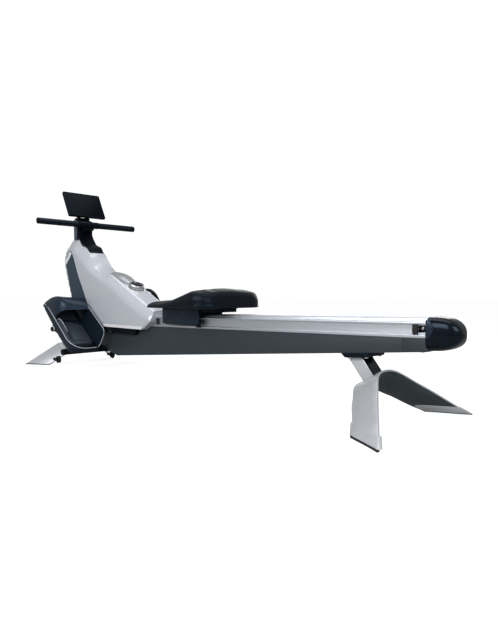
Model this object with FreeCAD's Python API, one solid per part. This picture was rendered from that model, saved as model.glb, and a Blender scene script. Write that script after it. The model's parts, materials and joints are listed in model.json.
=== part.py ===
import FreeCAD, Part
import math
import os

# Rowing machine with a rising aluminium seat rail on a tapered beam.
# Frame: +X runs from the flywheel end to the rail's end cap, +Y is the rower's right hand, +Z is up.
# The rower sits facing -X. The origin is on the floor, in the middle of the footprint. Millimetres.

# ---- overall sizes
FOOT_HALF_SPAN = 290.0
PAD_THICKNESS = 5.0
CLEARANCE = 0.3

# ---- seat rail (an extrusion that rises gently to the rear)
RAIL_RISE_DEG = 1.02
RAIL_BASE_Z = 258.2
RAIL_FRONT = -410.0
RAIL_REAR = 1140.0
CAP_REACH = 95.0
CAP_GRIP = 20.0
CAP_TIP_X = RAIL_REAR + CAP_REACH
BEAM_SHORTFALL = 76.0
RAIL_HALF_WIDTH = 46.0
RAIL_WEB_HALF = 39.0
RAIL_FLANGE_HEIGHT = 9.0
RAIL_SHOULDER_HEIGHT = 47.6
RAIL_LIP_HEIGHT = 7.0
RAIL_CROWN_HALF = 30.0
RAIL_CROWN_RISE = 13.5
RAIL_WALL = 3.5
CUTOUT_LENGTH = 27.0
CUTOUT_HEIGHT = 25.0
CUTOUT_DEPTH = 12.0

# ---- tapered main beam
BEAM_HALF_WIDTH = 42.0
BEAM_WALL = 3.0
BEAM_REAR = RAIL_REAR - BEAM_SHORTFALL
BEAM_HEEL_X = -612.0
BEAM_HEEL_Z = 82.0
BEAM_BOTTOM_SLOPE = 0.0893
BEAM_CHAMFER_X = -800.0
BEAM_CHAMFER_Z = 134.0
BEAM_NOSE_X = -1035.0
BEAM_NOSE_Z = 160.0
BEAM_FRONT_TOP = 205.0

# ---- rear leg: an arch between two bent edges, hung on a square post
# Each edge has its apex x and z, the slope of its leg, where the bend starts, how soft it is and its lean.
REAR_ARCH_FRONT_EDGE = (878.0, 112.0, 0.56, 28.0, 23.0, 1.17)
REAR_ARCH_REAR_EDGE = (980.0, 169.0, 0.693, 50.0, 24.0, 0.95)
REAR_ARCH_STATIONS = (0.0, 30.0, 60.0, 95.0, 140.0, 200.0, 260.0, 320.0)
LEG_WIDTH = 104.0
LEG_THICKNESS = 7.0
POST_X = 933.0
POST_Z = 145.0
POST_LEAN_DEG = 38.5
POST_DEPTH = 48.0
POST_WIDTH = 60.0
POST_WALL = 3.0
BRACKET_FRONT = 846.0
BRACKET_LENGTH = 106.0
BRACKET_THICKNESS = 14.0
BRACKET_HALF_WIDTH = 50.0

# ---- front leg: a straight-splayed arch plate in a leaning plane
FRONT_APEX_X = -1096.0
FRONT_APEX_Z = 93.0
FRONT_LEAN_DEG = 38.2
FRONT_FLAT_HALF = 130.0
FRONT_SPLAY = 1.04
FRONT_BEND_RADIUS = 34.0
WHEEL_RADIUS = 20.0
WHEEL_WIDTH = 16.0
WHEEL_LIFT = 14.0
WHEEL_X = -1050.0
WHEEL_Z = WHEEL_RADIUS + WHEEL_LIFT
WHEEL_Y = 172.0
WHEEL_BORE = 4.0
WHEEL_RUNNING_FIT = 0.05
WHEEL_SIDE_GAP = 1.5
EAR_THICKNESS = 3.0
EAR_RADIUS = 8.0
EAR_REACH = 46.0

# ---- housing
HOUSING_HALF_WIDTH = 80.0
HOUSING_WALL = 3.0
HOUSING_BOTTOM = 236.0
SPINE_HALF_WIDTH = 60.0
PANEL_THICKNESS = 3.0
SLOPE_DEG = 24.7
MAST_HALF_WIDTH = 46.0
MAST_CAP_FRONT = -1093.0
MAST_BACK = -1027.0
MAST_SEAM_Z = 728.0
MAST_TOP_Z = 850.0

# ---- drive inside the housing
AXLE_X = -520.0
AXLE_Z = 307.0
AXLE_RADIUS = 8.0
FLYWHEEL_RADIUS = 95.0
FLYWHEEL_WIDTH = 34.0
MAGNET_GAP = 5.0
MAGNET_THICKNESS = 11.0
SPOOL_X = -760.0
SPOOL_Z = 330.0
SPOOL_RADIUS = 45.0
SPOOL_PULLEY_RADIUS = 60.0
FLYWHEEL_PULLEY_RADIUS = 26.0
SHAFT_FIT = 0.05
BELT_THICKNESS = 2.5
BELT_WIDTH = 12.0
GUARD_RADIUS = 132.0
GUARD_DEPTH = 16.0
GUARD_RIBS = 5

# ---- resistance dial
DIAL_X = -482.0
DIAL_RADIUS = 40.0
DIAL_HEIGHT = 22.0
COLLAR_RADIUS = 50.0
COLLAR_HEIGHT = 8.0

# ---- handle, strap and console
HANDLE_X = -985.0
HANDLE_Z = 813.0
HANDLE_LENGTH = 600.0
HANDLE_TUBE_RADIUS = 12.5
GRIP_RADIUS = 15.5
GRIP_LENGTH = 232.0
CLAMP_RADIUS = 19.0
CLAMP_LENGTH = 118.0
STRAP_WIDTH = 22.0
STRAP_THICKNESS = 2.0
ROLLER_RADIUS = 15.0
STRAP_ROLLER_X = -1055.0
STRAP_PIN_RADIUS = 4.0
SCREEN_WIDTH = 225.0
SCREEN_HEIGHT = 164.0
SCREEN_THICKNESS = 16.0
SCREEN_LEAN_DEG = 29.0
SCREEN_X = -1036.0
SCREEN_Z = 931.0
CONSOLE_PIN_X = -1036.0
CONSOLE_PIN_Z = 885.0
CONSOLE_PIN_RADIUS = 5.0

# ---- seat and carriage (placed along the rail)
SEAT_MID_X = -12.0
CARRIAGE_LENGTH = 268.0
CARRIAGE_PLATE_Y = 58.0
CARRIAGE_PLATE_THICKNESS = 3.0
DECK_OVERHANG = 60.0
COVER_THICKNESS = 7.0
COVER_DEPTH = 65.0
WHEELBASE = 170.0
TOP_ROLLER_RADIUS = 14.0
TOP_ROLLER_WIDTH = 10.0
LOWER_ROLLER_RADIUS = 11.0
DECK_THICKNESS = 3.0
PAD_LEAD = 132.0
PAD_LENGTH = 406.0
PAD_HALF_WIDTH = 184.0
PAD_FRONT_HEIGHT = 30.0
PAD_HEIGHT = 84.0
BASE_THICKNESS = 8.0
BASE_LENGTH = 350.0

# ---- footrests
FOOT_TILT_DEG = 36.1
HEEL_X = -717.0
HEEL_Z = 135.0
FOOT_INNER_Y = 96.0
FOOT_OUTER_Y = 250.0
FOOT_FLOOR_DEPTH = 28.0
FOOT_FLOOR_THICKNESS = 10.0
FOOT_WALL = 4.0
FOOT_LENGTH = 395.0
INNER_WALL_HEIGHT = 112.0
HOOD_START = 225.0
HOOD_LENGTH = 180.0
HOOD_HEIGHT = 100.0
HOOD_WALL = 5.0
BAR_X = -827.0
BAR_Z = 100.0
BAR_RADIUS = 16.0
BAR_HALF_LENGTH = 250.0

Y_AXIS = FreeCAD.Vector(0, 1, 0)


# ---------------------------------------------------------------- helpers
def vec(x, y, z):
    return FreeCAD.Vector(x, y, z)


def box(x0, x1, y0, y1, z0, z1):
    return Part.makeBox(x1 - x0, y1 - y0, z1 - z0, vec(x0, y0, z0))


def rod_y(x, z, radius, y0, y1):
    """A round bar along Y."""
    return Part.makeCylinder(radius, y1 - y0, vec(x, y0, z), Y_AXIS)


def ring_y(x, z, outer, inner, y0, y1):
    """A tube along Y."""
    return rod_y(x, z, outer, y0, y1).cut(rod_y(x, z, inner, y0 - 1, y1 + 1))


def outline(corners):
    """A closed wire through (u, v, radius) corners, each rounded by a tangent arc."""
    points = [vec(u, v, 0) for u, v, radius in corners]
    count = len(points)
    starts = []
    ends = []
    middles = []
    for i, corner in enumerate(corners):
        here = points[i]
        back = (points[i - 1] - here).normalize()
        ahead = (points[(i + 1) % count] - here).normalize()
        radius = corner[2]
        half = back.getAngle(ahead) / 2
        if radius <= 0 or half > math.radians(89.5):
            starts.append(here)
            ends.append(here)
            middles.append(None)
            continue
        reach = radius / math.tan(half)
        starts.append(here + back * reach)
        ends.append(here + ahead * reach)
        bisector = (back + ahead).normalize()
        middles.append(here + bisector * (radius / math.sin(half) - radius))
    edges = []
    for i in range(count):
        if middles[i] is not None:
            edges.append(Part.Arc(starts[i], middles[i], ends[i]).toShape())
        following = starts[(i + 1) % count]
        if ends[i].distanceToPoint(following) > 1e-6:
            edges.append(Part.LineSegment(ends[i], following).toShape())
    return Part.Wire(edges)


def prism(corners, low, high, along="y"):
    """An outline extruded from low to high. Along y its corners are (x, z), along x they are (y, z)."""
    face = Part.Face(outline(corners))
    if along == "y":
        face.rotate(vec(0, 0, 0), vec(1, 0, 0), 90)
        face.translate(vec(0, low, 0))
        return face.extrude(vec(0, high - low, 0))
    if along == "x":
        face.rotate(vec(0, 0, 0), vec(1, 1, 1), 120)
        face.translate(vec(low, 0, 0))
        return face.extrude(vec(high - low, 0, 0))
    face.translate(vec(0, 0, low))
    return face.extrude(vec(0, 0, high - low))


def inset(corners, wall):
    """The same outline moved inwards by wall. Corners run anticlockwise."""
    count = len(corners)
    moved = []
    for i, (u, v, radius) in enumerate(corners):
        before = corners[i - 1]
        after = corners[(i + 1) % count]
        ax, ay = u - before[0], v - before[1]
        bx, by = after[0] - u, after[1] - v
        la, lb = math.hypot(ax, ay), math.hypot(bx, by)
        ax, ay, bx, by = ax / la, ay / la, bx / lb, by / lb
        turn = ax * by - ay * bx
        nx, ny = -ay - by, ax + bx
        scale = wall / (1 + ax * bx + ay * by)
        new_radius = max(radius - wall, 0) if turn > 0 else (radius + wall if radius > 0 else 0)
        moved.append((u + nx * scale, v + ny * scale, new_radius))
    return moved


def rounded(u0, u1, v0, v1, radius):
    """A rectangle with rounded corners, anticlockwise."""
    return [(u0, v0, radius), (u1, v0, radius), (u1, v1, radius), (u0, v1, radius)]


def mirrored(shape):
    """The same piece on the other side of the machine."""
    return shape.mirror(vec(0, 0, 0), Y_AXIS)


def join(shapes):
    return shapes[0].multiFuse(shapes[1:]).removeSplitter()


def group(shapes):
    """Separate solids that share one node."""
    return Part.makeCompound(shapes)


def on_rail(shape):
    """Moves a piece built on a level rail (x along it, z up from its underside) into place."""
    shape = shape.copy()
    shape.rotate(vec(0, 0, 0), Y_AXIS, -RAIL_RISE_DEG)
    shape.translate(vec(0, 0, RAIL_BASE_Z))
    return shape


def on_foot(shape):
    """Moves a piece built on a level footrest (heel at 0, toe towards -x) into place."""
    shape = shape.copy()
    shape.rotate(vec(0, 0, 0), Y_AXIS, FOOT_TILT_DEG)
    shape.translate(vec(HEEL_X, 0, HEEL_Z))
    return shape


def slope_height(x):
    """Height of the housing's raised spine at x, on its long rear slope."""
    return 509.0 - (x + 647.0) * math.tan(math.radians(SLOPE_DEG))


def on_slope(shape, x):
    """Moves a piece built upright at the origin onto the slope, square to it."""
    shape = shape.copy()
    shape.rotate(vec(0, 0, 0), Y_AXIS, SLOPE_DEG)
    shape.translate(vec(x, 0, slope_height(x)))
    return shape


def on_console(shape):
    """Moves a piece built upright round the console's centre into its leaning place."""
    shape = shape.copy()
    shape.rotate(vec(0, 0, 0), Y_AXIS, -SCREEN_LEAN_DEG)
    shape.translate(vec(SCREEN_X, 0, SCREEN_Z))
    return shape


def beam_bottom(x):
    return BEAM_HEEL_Z + (x - BEAM_HEEL_X) * BEAM_BOTTOM_SLOPE


def rail_bottom(x):
    return RAIL_BASE_Z + x * math.tan(math.radians(RAIL_RISE_DEG))


# ---------------------------------------------------------------- rail and beam
def seat_rail():
    lip = RAIL_SHOULDER_HEIGHT - RAIL_LIP_HEIGHT
    right = [
        (RAIL_HALF_WIDTH, 0, 1.5),
        (RAIL_HALF_WIDTH, RAIL_FLANGE_HEIGHT, 1.5),
        (RAIL_WEB_HALF, RAIL_FLANGE_HEIGHT + 2, 1),
        (RAIL_WEB_HALF, lip - 1, 1),
        (RAIL_HALF_WIDTH, lip, 1.5),
        (RAIL_HALF_WIDTH, RAIL_SHOULDER_HEIGHT, 3),
        (RAIL_CROWN_HALF, RAIL_SHOULDER_HEIGHT, 2),
        (RAIL_CROWN_HALF - 3, RAIL_SHOULDER_HEIGHT + RAIL_CROWN_RISE, 8),
    ]
    left = [(-y, z, radius) for y, z, radius in reversed(right)]
    body = prism(right + left, RAIL_FRONT, RAIL_REAR, "x")
    inner_half = RAIL_WEB_HALF - RAIL_WALL
    lower = prism(rounded(-inner_half, inner_half, RAIL_WALL, lip - RAIL_WALL, 3), RAIL_FRONT - 1, RAIL_REAR + 1, "x")
    crown_half = RAIL_CROWN_HALF - 3 - RAIL_WALL
    crown_low = lip
    crown_high = RAIL_SHOULDER_HEIGHT + RAIL_CROWN_RISE - RAIL_WALL
    upper = prism(rounded(-crown_half, crown_half, crown_low, crown_high, 4), RAIL_FRONT - 1, RAIL_REAR + 1, "x")
    body = body.cut(lower).cut(upper)
    z0 = (RAIL_SHOULDER_HEIGHT + RAIL_FLANGE_HEIGHT - CUTOUT_HEIGHT) / 2
    for side in (-1, 1):
        outer = side * (RAIL_HALF_WIDTH + 1)
        inner = side * (RAIL_HALF_WIDTH - CUTOUT_DEPTH)
        near = min(outer, inner)
        far = max(outer, inner)
        cutout = box(RAIL_REAR - CUTOUT_LENGTH, RAIL_REAR + 1, near, far, z0, z0 + CUTOUT_HEIGHT)
        body = body.cut(cutout)
    return on_rail(body)


def beam_outline(rear):
    """Side view of the beam: tapered towards the rear, lifted nose in front of the heel."""
    return [
        (BEAM_HEEL_X, BEAM_HEEL_Z, 12),
        (rear, beam_bottom(rear), 0),
        (rear, rail_bottom(rear), 0),
        (RAIL_FRONT, rail_bottom(RAIL_FRONT), 0),
        (RAIL_FRONT, BEAM_FRONT_TOP, 0),
        (BEAM_NOSE_X, BEAM_FRONT_TOP, 0),
        (BEAM_NOSE_X, BEAM_NOSE_Z, 0),
        (BEAM_CHAMFER_X, BEAM_CHAMFER_Z, 40),
    ]


def main_beam():
    profile = beam_outline(BEAM_REAR)
    outer = prism(profile, -BEAM_HALF_WIDTH, BEAM_HALF_WIDTH)
    inner = prism(inset(profile, BEAM_WALL), -BEAM_HALF_WIDTH + BEAM_WALL, BEAM_HALF_WIDTH - BEAM_WALL)
    rear_mouth = box(
        BEAM_REAR - 60, BEAM_REAR + 1, -BEAM_HALF_WIDTH + BEAM_WALL, BEAM_HALF_WIDTH - BEAM_WALL,
        beam_bottom(BEAM_REAR) + BEAM_WALL, rail_bottom(BEAM_REAR - 60) - BEAM_WALL)
    return outer.cut(inner).cut(rear_mouth)


def beam_rear_plug():
    """The moulded end piece that closes the beam and carries the end cap."""
    tail = CAP_TIP_X - 90
    body = prism([
        (BEAM_REAR, beam_bottom(BEAM_REAR), 0),
        (tail, beam_bottom(tail), 4),
        (tail, rail_bottom(tail), 4),
        (BEAM_REAR, rail_bottom(BEAM_REAR), 0),
    ], -BEAM_HALF_WIDTH, BEAM_HALF_WIDTH)
    half = BEAM_HALF_WIDTH - BEAM_WALL - CLEARANCE
    tongue = box(
        BEAM_REAR - 50, BEAM_REAR + 1, -half, half,
        beam_bottom(BEAM_REAR) + BEAM_WALL + CLEARANCE, rail_bottom(BEAM_REAR - 60) - BEAM_WALL - CLEARANCE)
    return join([body, tongue])


def rail_end_cap():
    """The rounded cap over the rail's end, longer at the top than below."""
    start = RAIL_REAR - CAP_GRIP
    low = 240.0 - rail_bottom(CAP_TIP_X)
    top = RAIL_SHOULDER_HEIGHT + RAIL_CROWN_RISE + 2
    side = [
        (start, low, 2),
        (CAP_TIP_X - 48, low, 40),
        (CAP_TIP_X, low + 48, 26),
        (CAP_TIP_X - 4, top, 36),
        (start, top, 2),
    ]
    half = RAIL_HALF_WIDTH + 5
    plan = [
        (start, -half, 2),
        (CAP_TIP_X - 20, -half, 34),
        (CAP_TIP_X, -half + 48, 10),
        (CAP_TIP_X, half - 48, 10),
        (CAP_TIP_X - 20, half, 34),
        (start, half, 2),
    ]
    body = prism(side, -half, half).common(prism(plan, low - 1, top + 1, "z"))
    rail_mouth = box(
        start - 1, RAIL_REAR + CLEARANCE, -RAIL_HALF_WIDTH - CLEARANCE, RAIL_HALF_WIDTH + CLEARANCE,
        -CLEARANCE, RAIL_SHOULDER_HEIGHT + RAIL_CROWN_RISE + CLEARANCE)
    cap = on_rail(body.cut(rail_mouth))
    tail = CAP_TIP_X - 90
    plug_space = prism([
        (BEAM_REAR, beam_bottom(BEAM_REAR) - 5, 0),
        (tail, beam_bottom(tail) - 5, 0),
        (tail, rail_bottom(tail), 0),
        (BEAM_REAR, rail_bottom(BEAM_REAR), 0),
    ], -BEAM_HALF_WIDTH, BEAM_HALF_WIDTH)
    return cap.cut(plug_space)


def rail_stops():
    """Rubber blocks in the rail's side channels that end the seat's travel."""
    low = RAIL_FLANGE_HEIGHT + 3
    high = RAIL_SHOULDER_HEIGHT - RAIL_LIP_HEIGHT - 2
    blocks = []
    for x0, x1 in ((-232.0, -214.0), (RAIL_REAR - CUTOUT_LENGTH - 16, RAIL_REAR - CUTOUT_LENGTH)):
        for side in (-1, 1):
            y0 = side * RAIL_WEB_HALF
            y1 = side * (RAIL_HALF_WIDTH - 0.5)
            blocks.append(on_rail(box(x0, x1, min(y0, y1), max(y0, y1), low, high)))
    return group(blocks)


def rail_side_plates():
    """Plain grey plates in the rail's side channels, where the housing ends."""
    low = RAIL_FLANGE_HEIGHT + 3
    high = RAIL_SHOULDER_HEIGHT - RAIL_LIP_HEIGHT - 2
    plate = on_rail(box(-330, -234, RAIL_WEB_HALF, RAIL_HALF_WIDTH - 1, low, high))
    return group([plate, mirrored(plate)])


# ---------------------------------------------------------------- legs
def arch_face(reach):
    """End view of the front arch: flat top, a bend each side, straight splayed legs. v is 0 at the top."""
    half = FRONT_FLAT_HALF
    splay = FRONT_SPLAY
    outer = [
        (-half - splay * reach, -reach, 0),
        (-half, 0, FRONT_BEND_RADIUS),
        (half, 0, FRONT_BEND_RADIUS),
        (half + splay * reach, -reach, 0),
    ]
    length = math.hypot(1, splay)
    drop = LEG_THICKNESS * length
    run = LEG_THICKNESS * (length - 1) / splay
    inner_radius = FRONT_BEND_RADIUS - LEG_THICKNESS
    inner = [
        (half + splay * reach, -reach - drop, 0),
        (half - run, -LEG_THICKNESS, inner_radius),
        (-half + run, -LEG_THICKNESS, inner_radius),
        (-half - splay * reach, -reach - drop, 0),
    ]
    return outer + inner


def floor_slab(low, high):
    return box(-1500, 1500, -600, 600, low, high)


def front_arch(low, high):
    """The front arch plate, leaning forwards, with the slice between low and high kept."""
    plate = prism(arch_face(330.0), -LEG_WIDTH / 2, LEG_WIDTH / 2, "x")
    plate.rotate(vec(0, 0, 0), Y_AXIS, FRONT_LEAN_DEG)
    plate.translate(vec(FRONT_APEX_X, 0, FRONT_APEX_Z))
    return plate.common(floor_slab(low, high))


def arch_edge_point(edge, y):
    """A point of one edge of the rear arch: flat at the apex, bending into a splayed leg."""
    x, z, slope, start, softness, lean = edge
    past = abs(y) - start
    drop = slope / 2 * (past + math.hypot(past, softness))
    return vec(x + lean * drop, y, z - drop)


def arch_section(y):
    """A cut through the rear arch's plate across its width."""
    step = 1.0
    front = arch_edge_point(REAR_ARCH_FRONT_EDGE, y)
    rear = arch_edge_point(REAR_ARCH_REAR_EDGE, y)
    ahead = arch_edge_point(REAR_ARCH_REAR_EDGE, y + step) - arch_edge_point(REAR_ARCH_REAR_EDGE, y - step)
    inwards = ahead.cross(rear - front).normalize()
    depth = inwards * LEG_THICKNESS
    return Part.makePolygon([front, rear, rear + depth, front + depth, front])


def rear_arch(low, high):
    """The rear arch plate, a loft from foot to foot, with the slice between low and high kept."""
    places = [-y for y in reversed(REAR_ARCH_STATIONS[1:])] + list(REAR_ARCH_STATIONS)
    plate = Part.makeLoft([arch_section(y) for y in places], True, False)
    return plate.common(floor_slab(low, high))


def foot_pads():
    solids = []
    for arch in (front_arch(0, PAD_THICKNESS), rear_arch(0, PAD_THICKNESS)):
        solids.extend(arch.Solids)
    return group(solids)


def biggest(shape):
    return max(shape.Solids, key=lambda solid: solid.Volume)


def bracket_low(x):
    return beam_bottom(x) - BRACKET_THICKNESS


def rear_leg_post():
    """A square tube between the rear arch and the bracket under the beam."""
    half = POST_DEPTH / 2
    corners = rounded(-half, half, -POST_WIDTH / 2, POST_WIDTH / 2, 5)
    tube = prism(corners, -60, 160, "z").cut(prism(inset(corners, POST_WALL), -61, 161, "z"))
    tube.rotate(vec(0, 0, 0), Y_AXIS, -POST_LEAN_DEG)
    tube.translate(vec(POST_X, 0, POST_Z))
    start = BRACKET_FRONT - 100
    end = BRACKET_FRONT + 300
    below = prism([
        (start, 0, 0), (end, 0, 0), (end, bracket_low(end), 0), (start, bracket_low(start), 0),
    ], -100, 100)
    return biggest(tube.common(below).cut(rear_arch(0, 400)))


def rear_leg_bracket():
    """The plate under the beam that takes the post."""
    x0 = BRACKET_FRONT
    x1 = x0 + BRACKET_LENGTH
    return prism([
        (x0 + 16, bracket_low(x0 + 16), 3),
        (x1 - 4, bracket_low(x1 - 4), 2),
        (x1, beam_bottom(x1), 0),
        (x0, beam_bottom(x0), 0),
    ], -BRACKET_HALF_WIDTH, BRACKET_HALF_WIDTH)


def front_leg_bracket():
    """A folded bracket between the beam's nose and the front arch, with the ears of the two wheels."""
    half = 34.0
    lean = math.radians(FRONT_LEAN_DEG)
    body = prism([
        (FRONT_APEX_X - 32 * math.cos(lean), FRONT_APEX_Z + 32 * math.sin(lean), 0),
        (FRONT_APEX_X + 32 * math.cos(lean), FRONT_APEX_Z - 32 * math.sin(lean), 0),
        (-985, BEAM_NOSE_Z - 7, 3),
        (BEAM_NOSE_X + 4, BEAM_NOSE_Z + 1, 0),
        (BEAM_NOSE_X, BEAM_NOSE_Z + 1, 0),
        (BEAM_NOSE_X, BEAM_FRONT_TOP, 3),
    ], -half, half)
    body = body.cut(prism(beam_outline(BEAM_REAR), -BEAM_HALF_WIDTH, BEAM_HALF_WIDTH))
    return group([body.cut(front_arch(0, 400)), wheel_fork(-1), wheel_fork(1)])


def wheel_fork(side):
    """Two plates on the rear edge of the front arch, either side of a wheel, with the wheel's pin."""
    centre = side * WHEEL_Y
    gap = WHEEL_WIDTH / 2 + WHEEL_SIDE_GAP
    reach = gap + EAR_THICKNESS
    plates = []
    for low in (centre - reach, centre + gap):
        high = low + EAR_THICKNESS
        tip = rod_y(WHEEL_X, WHEEL_Z, EAR_RADIUS, low, high)
        bar = box(WHEEL_X - EAR_REACH, WHEEL_X, low, high, WHEEL_Z - EAR_RADIUS, WHEEL_Z + EAR_RADIUS)
        plates.append(biggest(tip.fuse(bar).removeSplitter().cut(front_arch(0, 400))))
    pin = rod_y(WHEEL_X, WHEEL_Z, WHEEL_BORE, centre - reach, centre + reach)
    return join(plates + [pin])


def transport_wheel(side):
    y = side * WHEEL_Y
    half = WHEEL_WIDTH / 2
    tyre = rod_y(WHEEL_X, WHEEL_Z, WHEEL_RADIUS, y - half, y + half)
    groove = ring_y(WHEEL_X, WHEEL_Z, WHEEL_RADIUS + 1, WHEEL_RADIUS - 1.5, y - 1.5, y + 1.5)
    bore = rod_y(WHEEL_X, WHEEL_Z, WHEEL_BORE + WHEEL_RUNNING_FIT, y - half - 1, y + half + 1)
    return tyre.cut(groove).cut(bore)


# ---------------------------------------------------------------- housing
def housing_outline():
    """Side view of the lower housing, anticlockwise from the rear foot of the skirt."""
    return [
        (-314, HOUSING_BOTTOM, 8),
        (-237, 279, 10),
        (-237, 305, 3),
        (-335, 317, 120),
        (-469, 379, 200),
        (-863, 559, 200),
        (-985, 655, 60),
        (-1030, 700, 30),
        (-1112, 700, 40),
        (-1148, 610, 60),
        (-1101, 490, 0),
        (-1000, HOUSING_BOTTOM, 10),
    ]


def spine_outline():
    """Side view of the raised spine and the foot of the mast, anticlockwise."""
    return [
        (-237, 300, 0),
        (-237, 322, 8),
        (-340, slope_height(-340), 100),
        (-647, slope_height(-647), 12),
        (-700, 500, 30),
        (-800, 535, 60),
        (-885, 640, 40),
        (-925, 672, 20),
        (-985, 692, 40),
        (-1016, MAST_SEAM_Z, 10),
        (MAST_CAP_FRONT, MAST_SEAM_Z, 6),
        (-1100, 670, 0),
        (-700, 400, 0),
    ]


def housing_solid():
    return prism(housing_outline(), -HOUSING_HALF_WIDTH, HOUSING_HALF_WIDTH)


def spine_solid():
    """The spine narrows from the slope to the mast."""
    tall = prism(spine_outline(), -SPINE_HALF_WIDTH, SPINE_HALF_WIDTH)
    plan = [
        (-230, -SPINE_HALF_WIDTH, 0),
        (-230, SPINE_HALF_WIDTH, 0),
        (-760, SPINE_HALF_WIDTH, 0),
        (-1020, MAST_HALF_WIDTH, 0),
        (-1130, MAST_HALF_WIDTH, 0),
        (-1130, -MAST_HALF_WIDTH, 0),
        (-1020, -MAST_HALF_WIDTH, 0),
        (-760, -SPINE_HALF_WIDTH, 0),
    ]
    return tall.common(prism(plan, 200, 900, "z"))


def spine_core():
    wall = HOUSING_WALL
    low_plan = [
        (-230, -SPINE_HALF_WIDTH + wall, 0),
        (-230, SPINE_HALF_WIDTH - wall, 0),
        (-760, SPINE_HALF_WIDTH - wall, 0),
        (-1020, MAST_HALF_WIDTH - wall, 0),
        (-1130, MAST_HALF_WIDTH - wall, 0),
        (-1130, -MAST_HALF_WIDTH + wall, 0),
        (-1020, -MAST_HALF_WIDTH + wall, 0),
        (-760, -SPINE_HALF_WIDTH + wall, 0),
    ]
    tall = prism(inset(spine_outline(), wall), -SPINE_HALF_WIDTH, SPINE_HALF_WIDTH)
    return tall.common(prism(low_plan, 200, 900, "z"))


def rail_space():
    """Room for the rail and the beam where they enter the housing."""
    half = RAIL_HALF_WIDTH + 1.5
    high = RAIL_SHOULDER_HEIGHT + RAIL_CROWN_RISE + 1.5
    beam_half = BEAM_HALF_WIDTH + 1.5
    beam = box(RAIL_FRONT - 10, -200, -beam_half, beam_half, BEAM_FRONT_TOP, rail_bottom(0))
    return on_rail(box(RAIL_FRONT - 10, -200, -half, half, -1, high)).fuse(beam)


def mast_space():
    """Room for the mast tube where it leaves the housing."""
    return mast_tube(2.0, 1000)


def mast_tube(grow, top):
    """The straight leaning outside of the mast tube, grown by a clearance."""
    lean = math.degrees(math.atan2(77.0, 620.0))
    body = box(-20 - grow, 20 + grow, -25 - grow, 25 + grow, 0, 900)
    body.rotate(vec(0, 0, 0), Y_AXIS, -lean)
    body.translate(vec(-985, 0, BEAM_FRONT_TOP))
    return body.common(box(-1300, -800, -100, 100, BEAM_FRONT_TOP, top))


def dial_hole():
    return on_slope(Part.makeCylinder(9.0, 60, vec(0, 0, -40)), DIAL_X)


def dome_hole():
    return on_slope(prism(rounded(-95, 95, -42, 42, 30), -30, 30, "z"), -612.0)


def side_panel_outline():
    """The dark side panel: rounded at the top, running down the front of the housing."""
    return [
        (-1112, 650, 25),
        (-1128, 606, 30),
        (-1082, 490, 0),
        (-990, 262, 20),
        (-800, 262, 10),
        (-845, 320, 20),
        (-915, 440, 60),
        (-1045, 664, 40),
    ]


def housing_shell(side):
    """One half of the housing: a thin moulding with a step for the side panel."""
    outer = housing_solid()
    inner = prism(
        inset(housing_outline(), HOUSING_WALL), -HOUSING_HALF_WIDTH + HOUSING_WALL, HOUSING_HALF_WIDTH - HOUSING_WALL)
    belly = box(-1010, -300, -66, 66, HOUSING_BOTTOM - 1, HOUSING_BOTTOM + 8)
    shell = outer.cut(inner).cut(belly).cut(spine_solid()).cut(rail_space()).cut(mast_space())
    y_out = HOUSING_HALF_WIDTH + 1
    panel = side_panel_outline()
    y_in = HOUSING_HALF_WIDTH - PANEL_THICKNESS
    if side < 0:
        shell = shell.cut(prism(panel, -y_out, -y_in))
        half = box(-1300, 0, -200, 0, 0, 1000)
    else:
        shell = shell.cut(prism(panel, y_in, y_out))
        half = box(-1300, 0, 0, 200, 0, 1000)
    return shell.common(half)


def side_panel(side):
    y_out = HOUSING_HALF_WIDTH
    y_in = HOUSING_HALF_WIDTH - PANEL_THICKNESS
    profile = inset(side_panel_outline(), 0.2)
    plate = prism(profile, y_in, y_out)
    return mirrored(plate) if side < 0 else plate


def spine_cover():
    cover = spine_solid().cut(spine_core()).cut(housing_solid())
    return cover.cut(dial_hole()).cut(dome_hole()).cut(mast_space()).cut(rail_space())


def slope_dome():
    """The smooth smoked cover that swells out of the slope."""
    length = 200.0
    sag = [
        (-length / 2 + 6, 0, 0),
        (length / 2 - 6, 0, 0),
        (length / 2 - 34, 24, 60),
        (0, 38, 160),
        (-length / 2 + 34, 24, 60),
    ]
    side = prism(sag, -44, 44)
    plan = prism(rounded(-92, 92, -40, 40, 28), -1, 60, "z")
    rim = prism(rounded(-95, 95, -42, 42, 30), -3, 0, "z")
    return on_slope(join([side.common(plan), rim]), -612.0)


def mast_post():
    wall = 3.0
    tube = mast_tube(0, MAST_TOP_Z - 5)
    core = mast_tube(-wall, 1000)
    exit_slot = box(-1045, -1000, -18, 18, 770, 900)
    return tube.cut(core).cut(exit_slot)


def mast_section(x0, x1, half, z0, z1, radius):
    return prism([
        (x0, -half, radius), (x1, -half, 3), (x1, half, 3), (x0, half, radius),
    ], z0, z1, "z")


def mast_cap():
    """The front shell of the mast above the seam."""
    z0 = MAST_SEAM_Z + 0.3
    outer = mast_section(MAST_CAP_FRONT, -1050, MAST_HALF_WIDTH, z0, MAST_TOP_Z, 16)
    inner = mast_section(MAST_CAP_FRONT + 3, -1040, MAST_HALF_WIDTH - 3, z0 - 1, MAST_TOP_Z - 3, 13)
    return outer.cut(inner).cut(mast_space())


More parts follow.
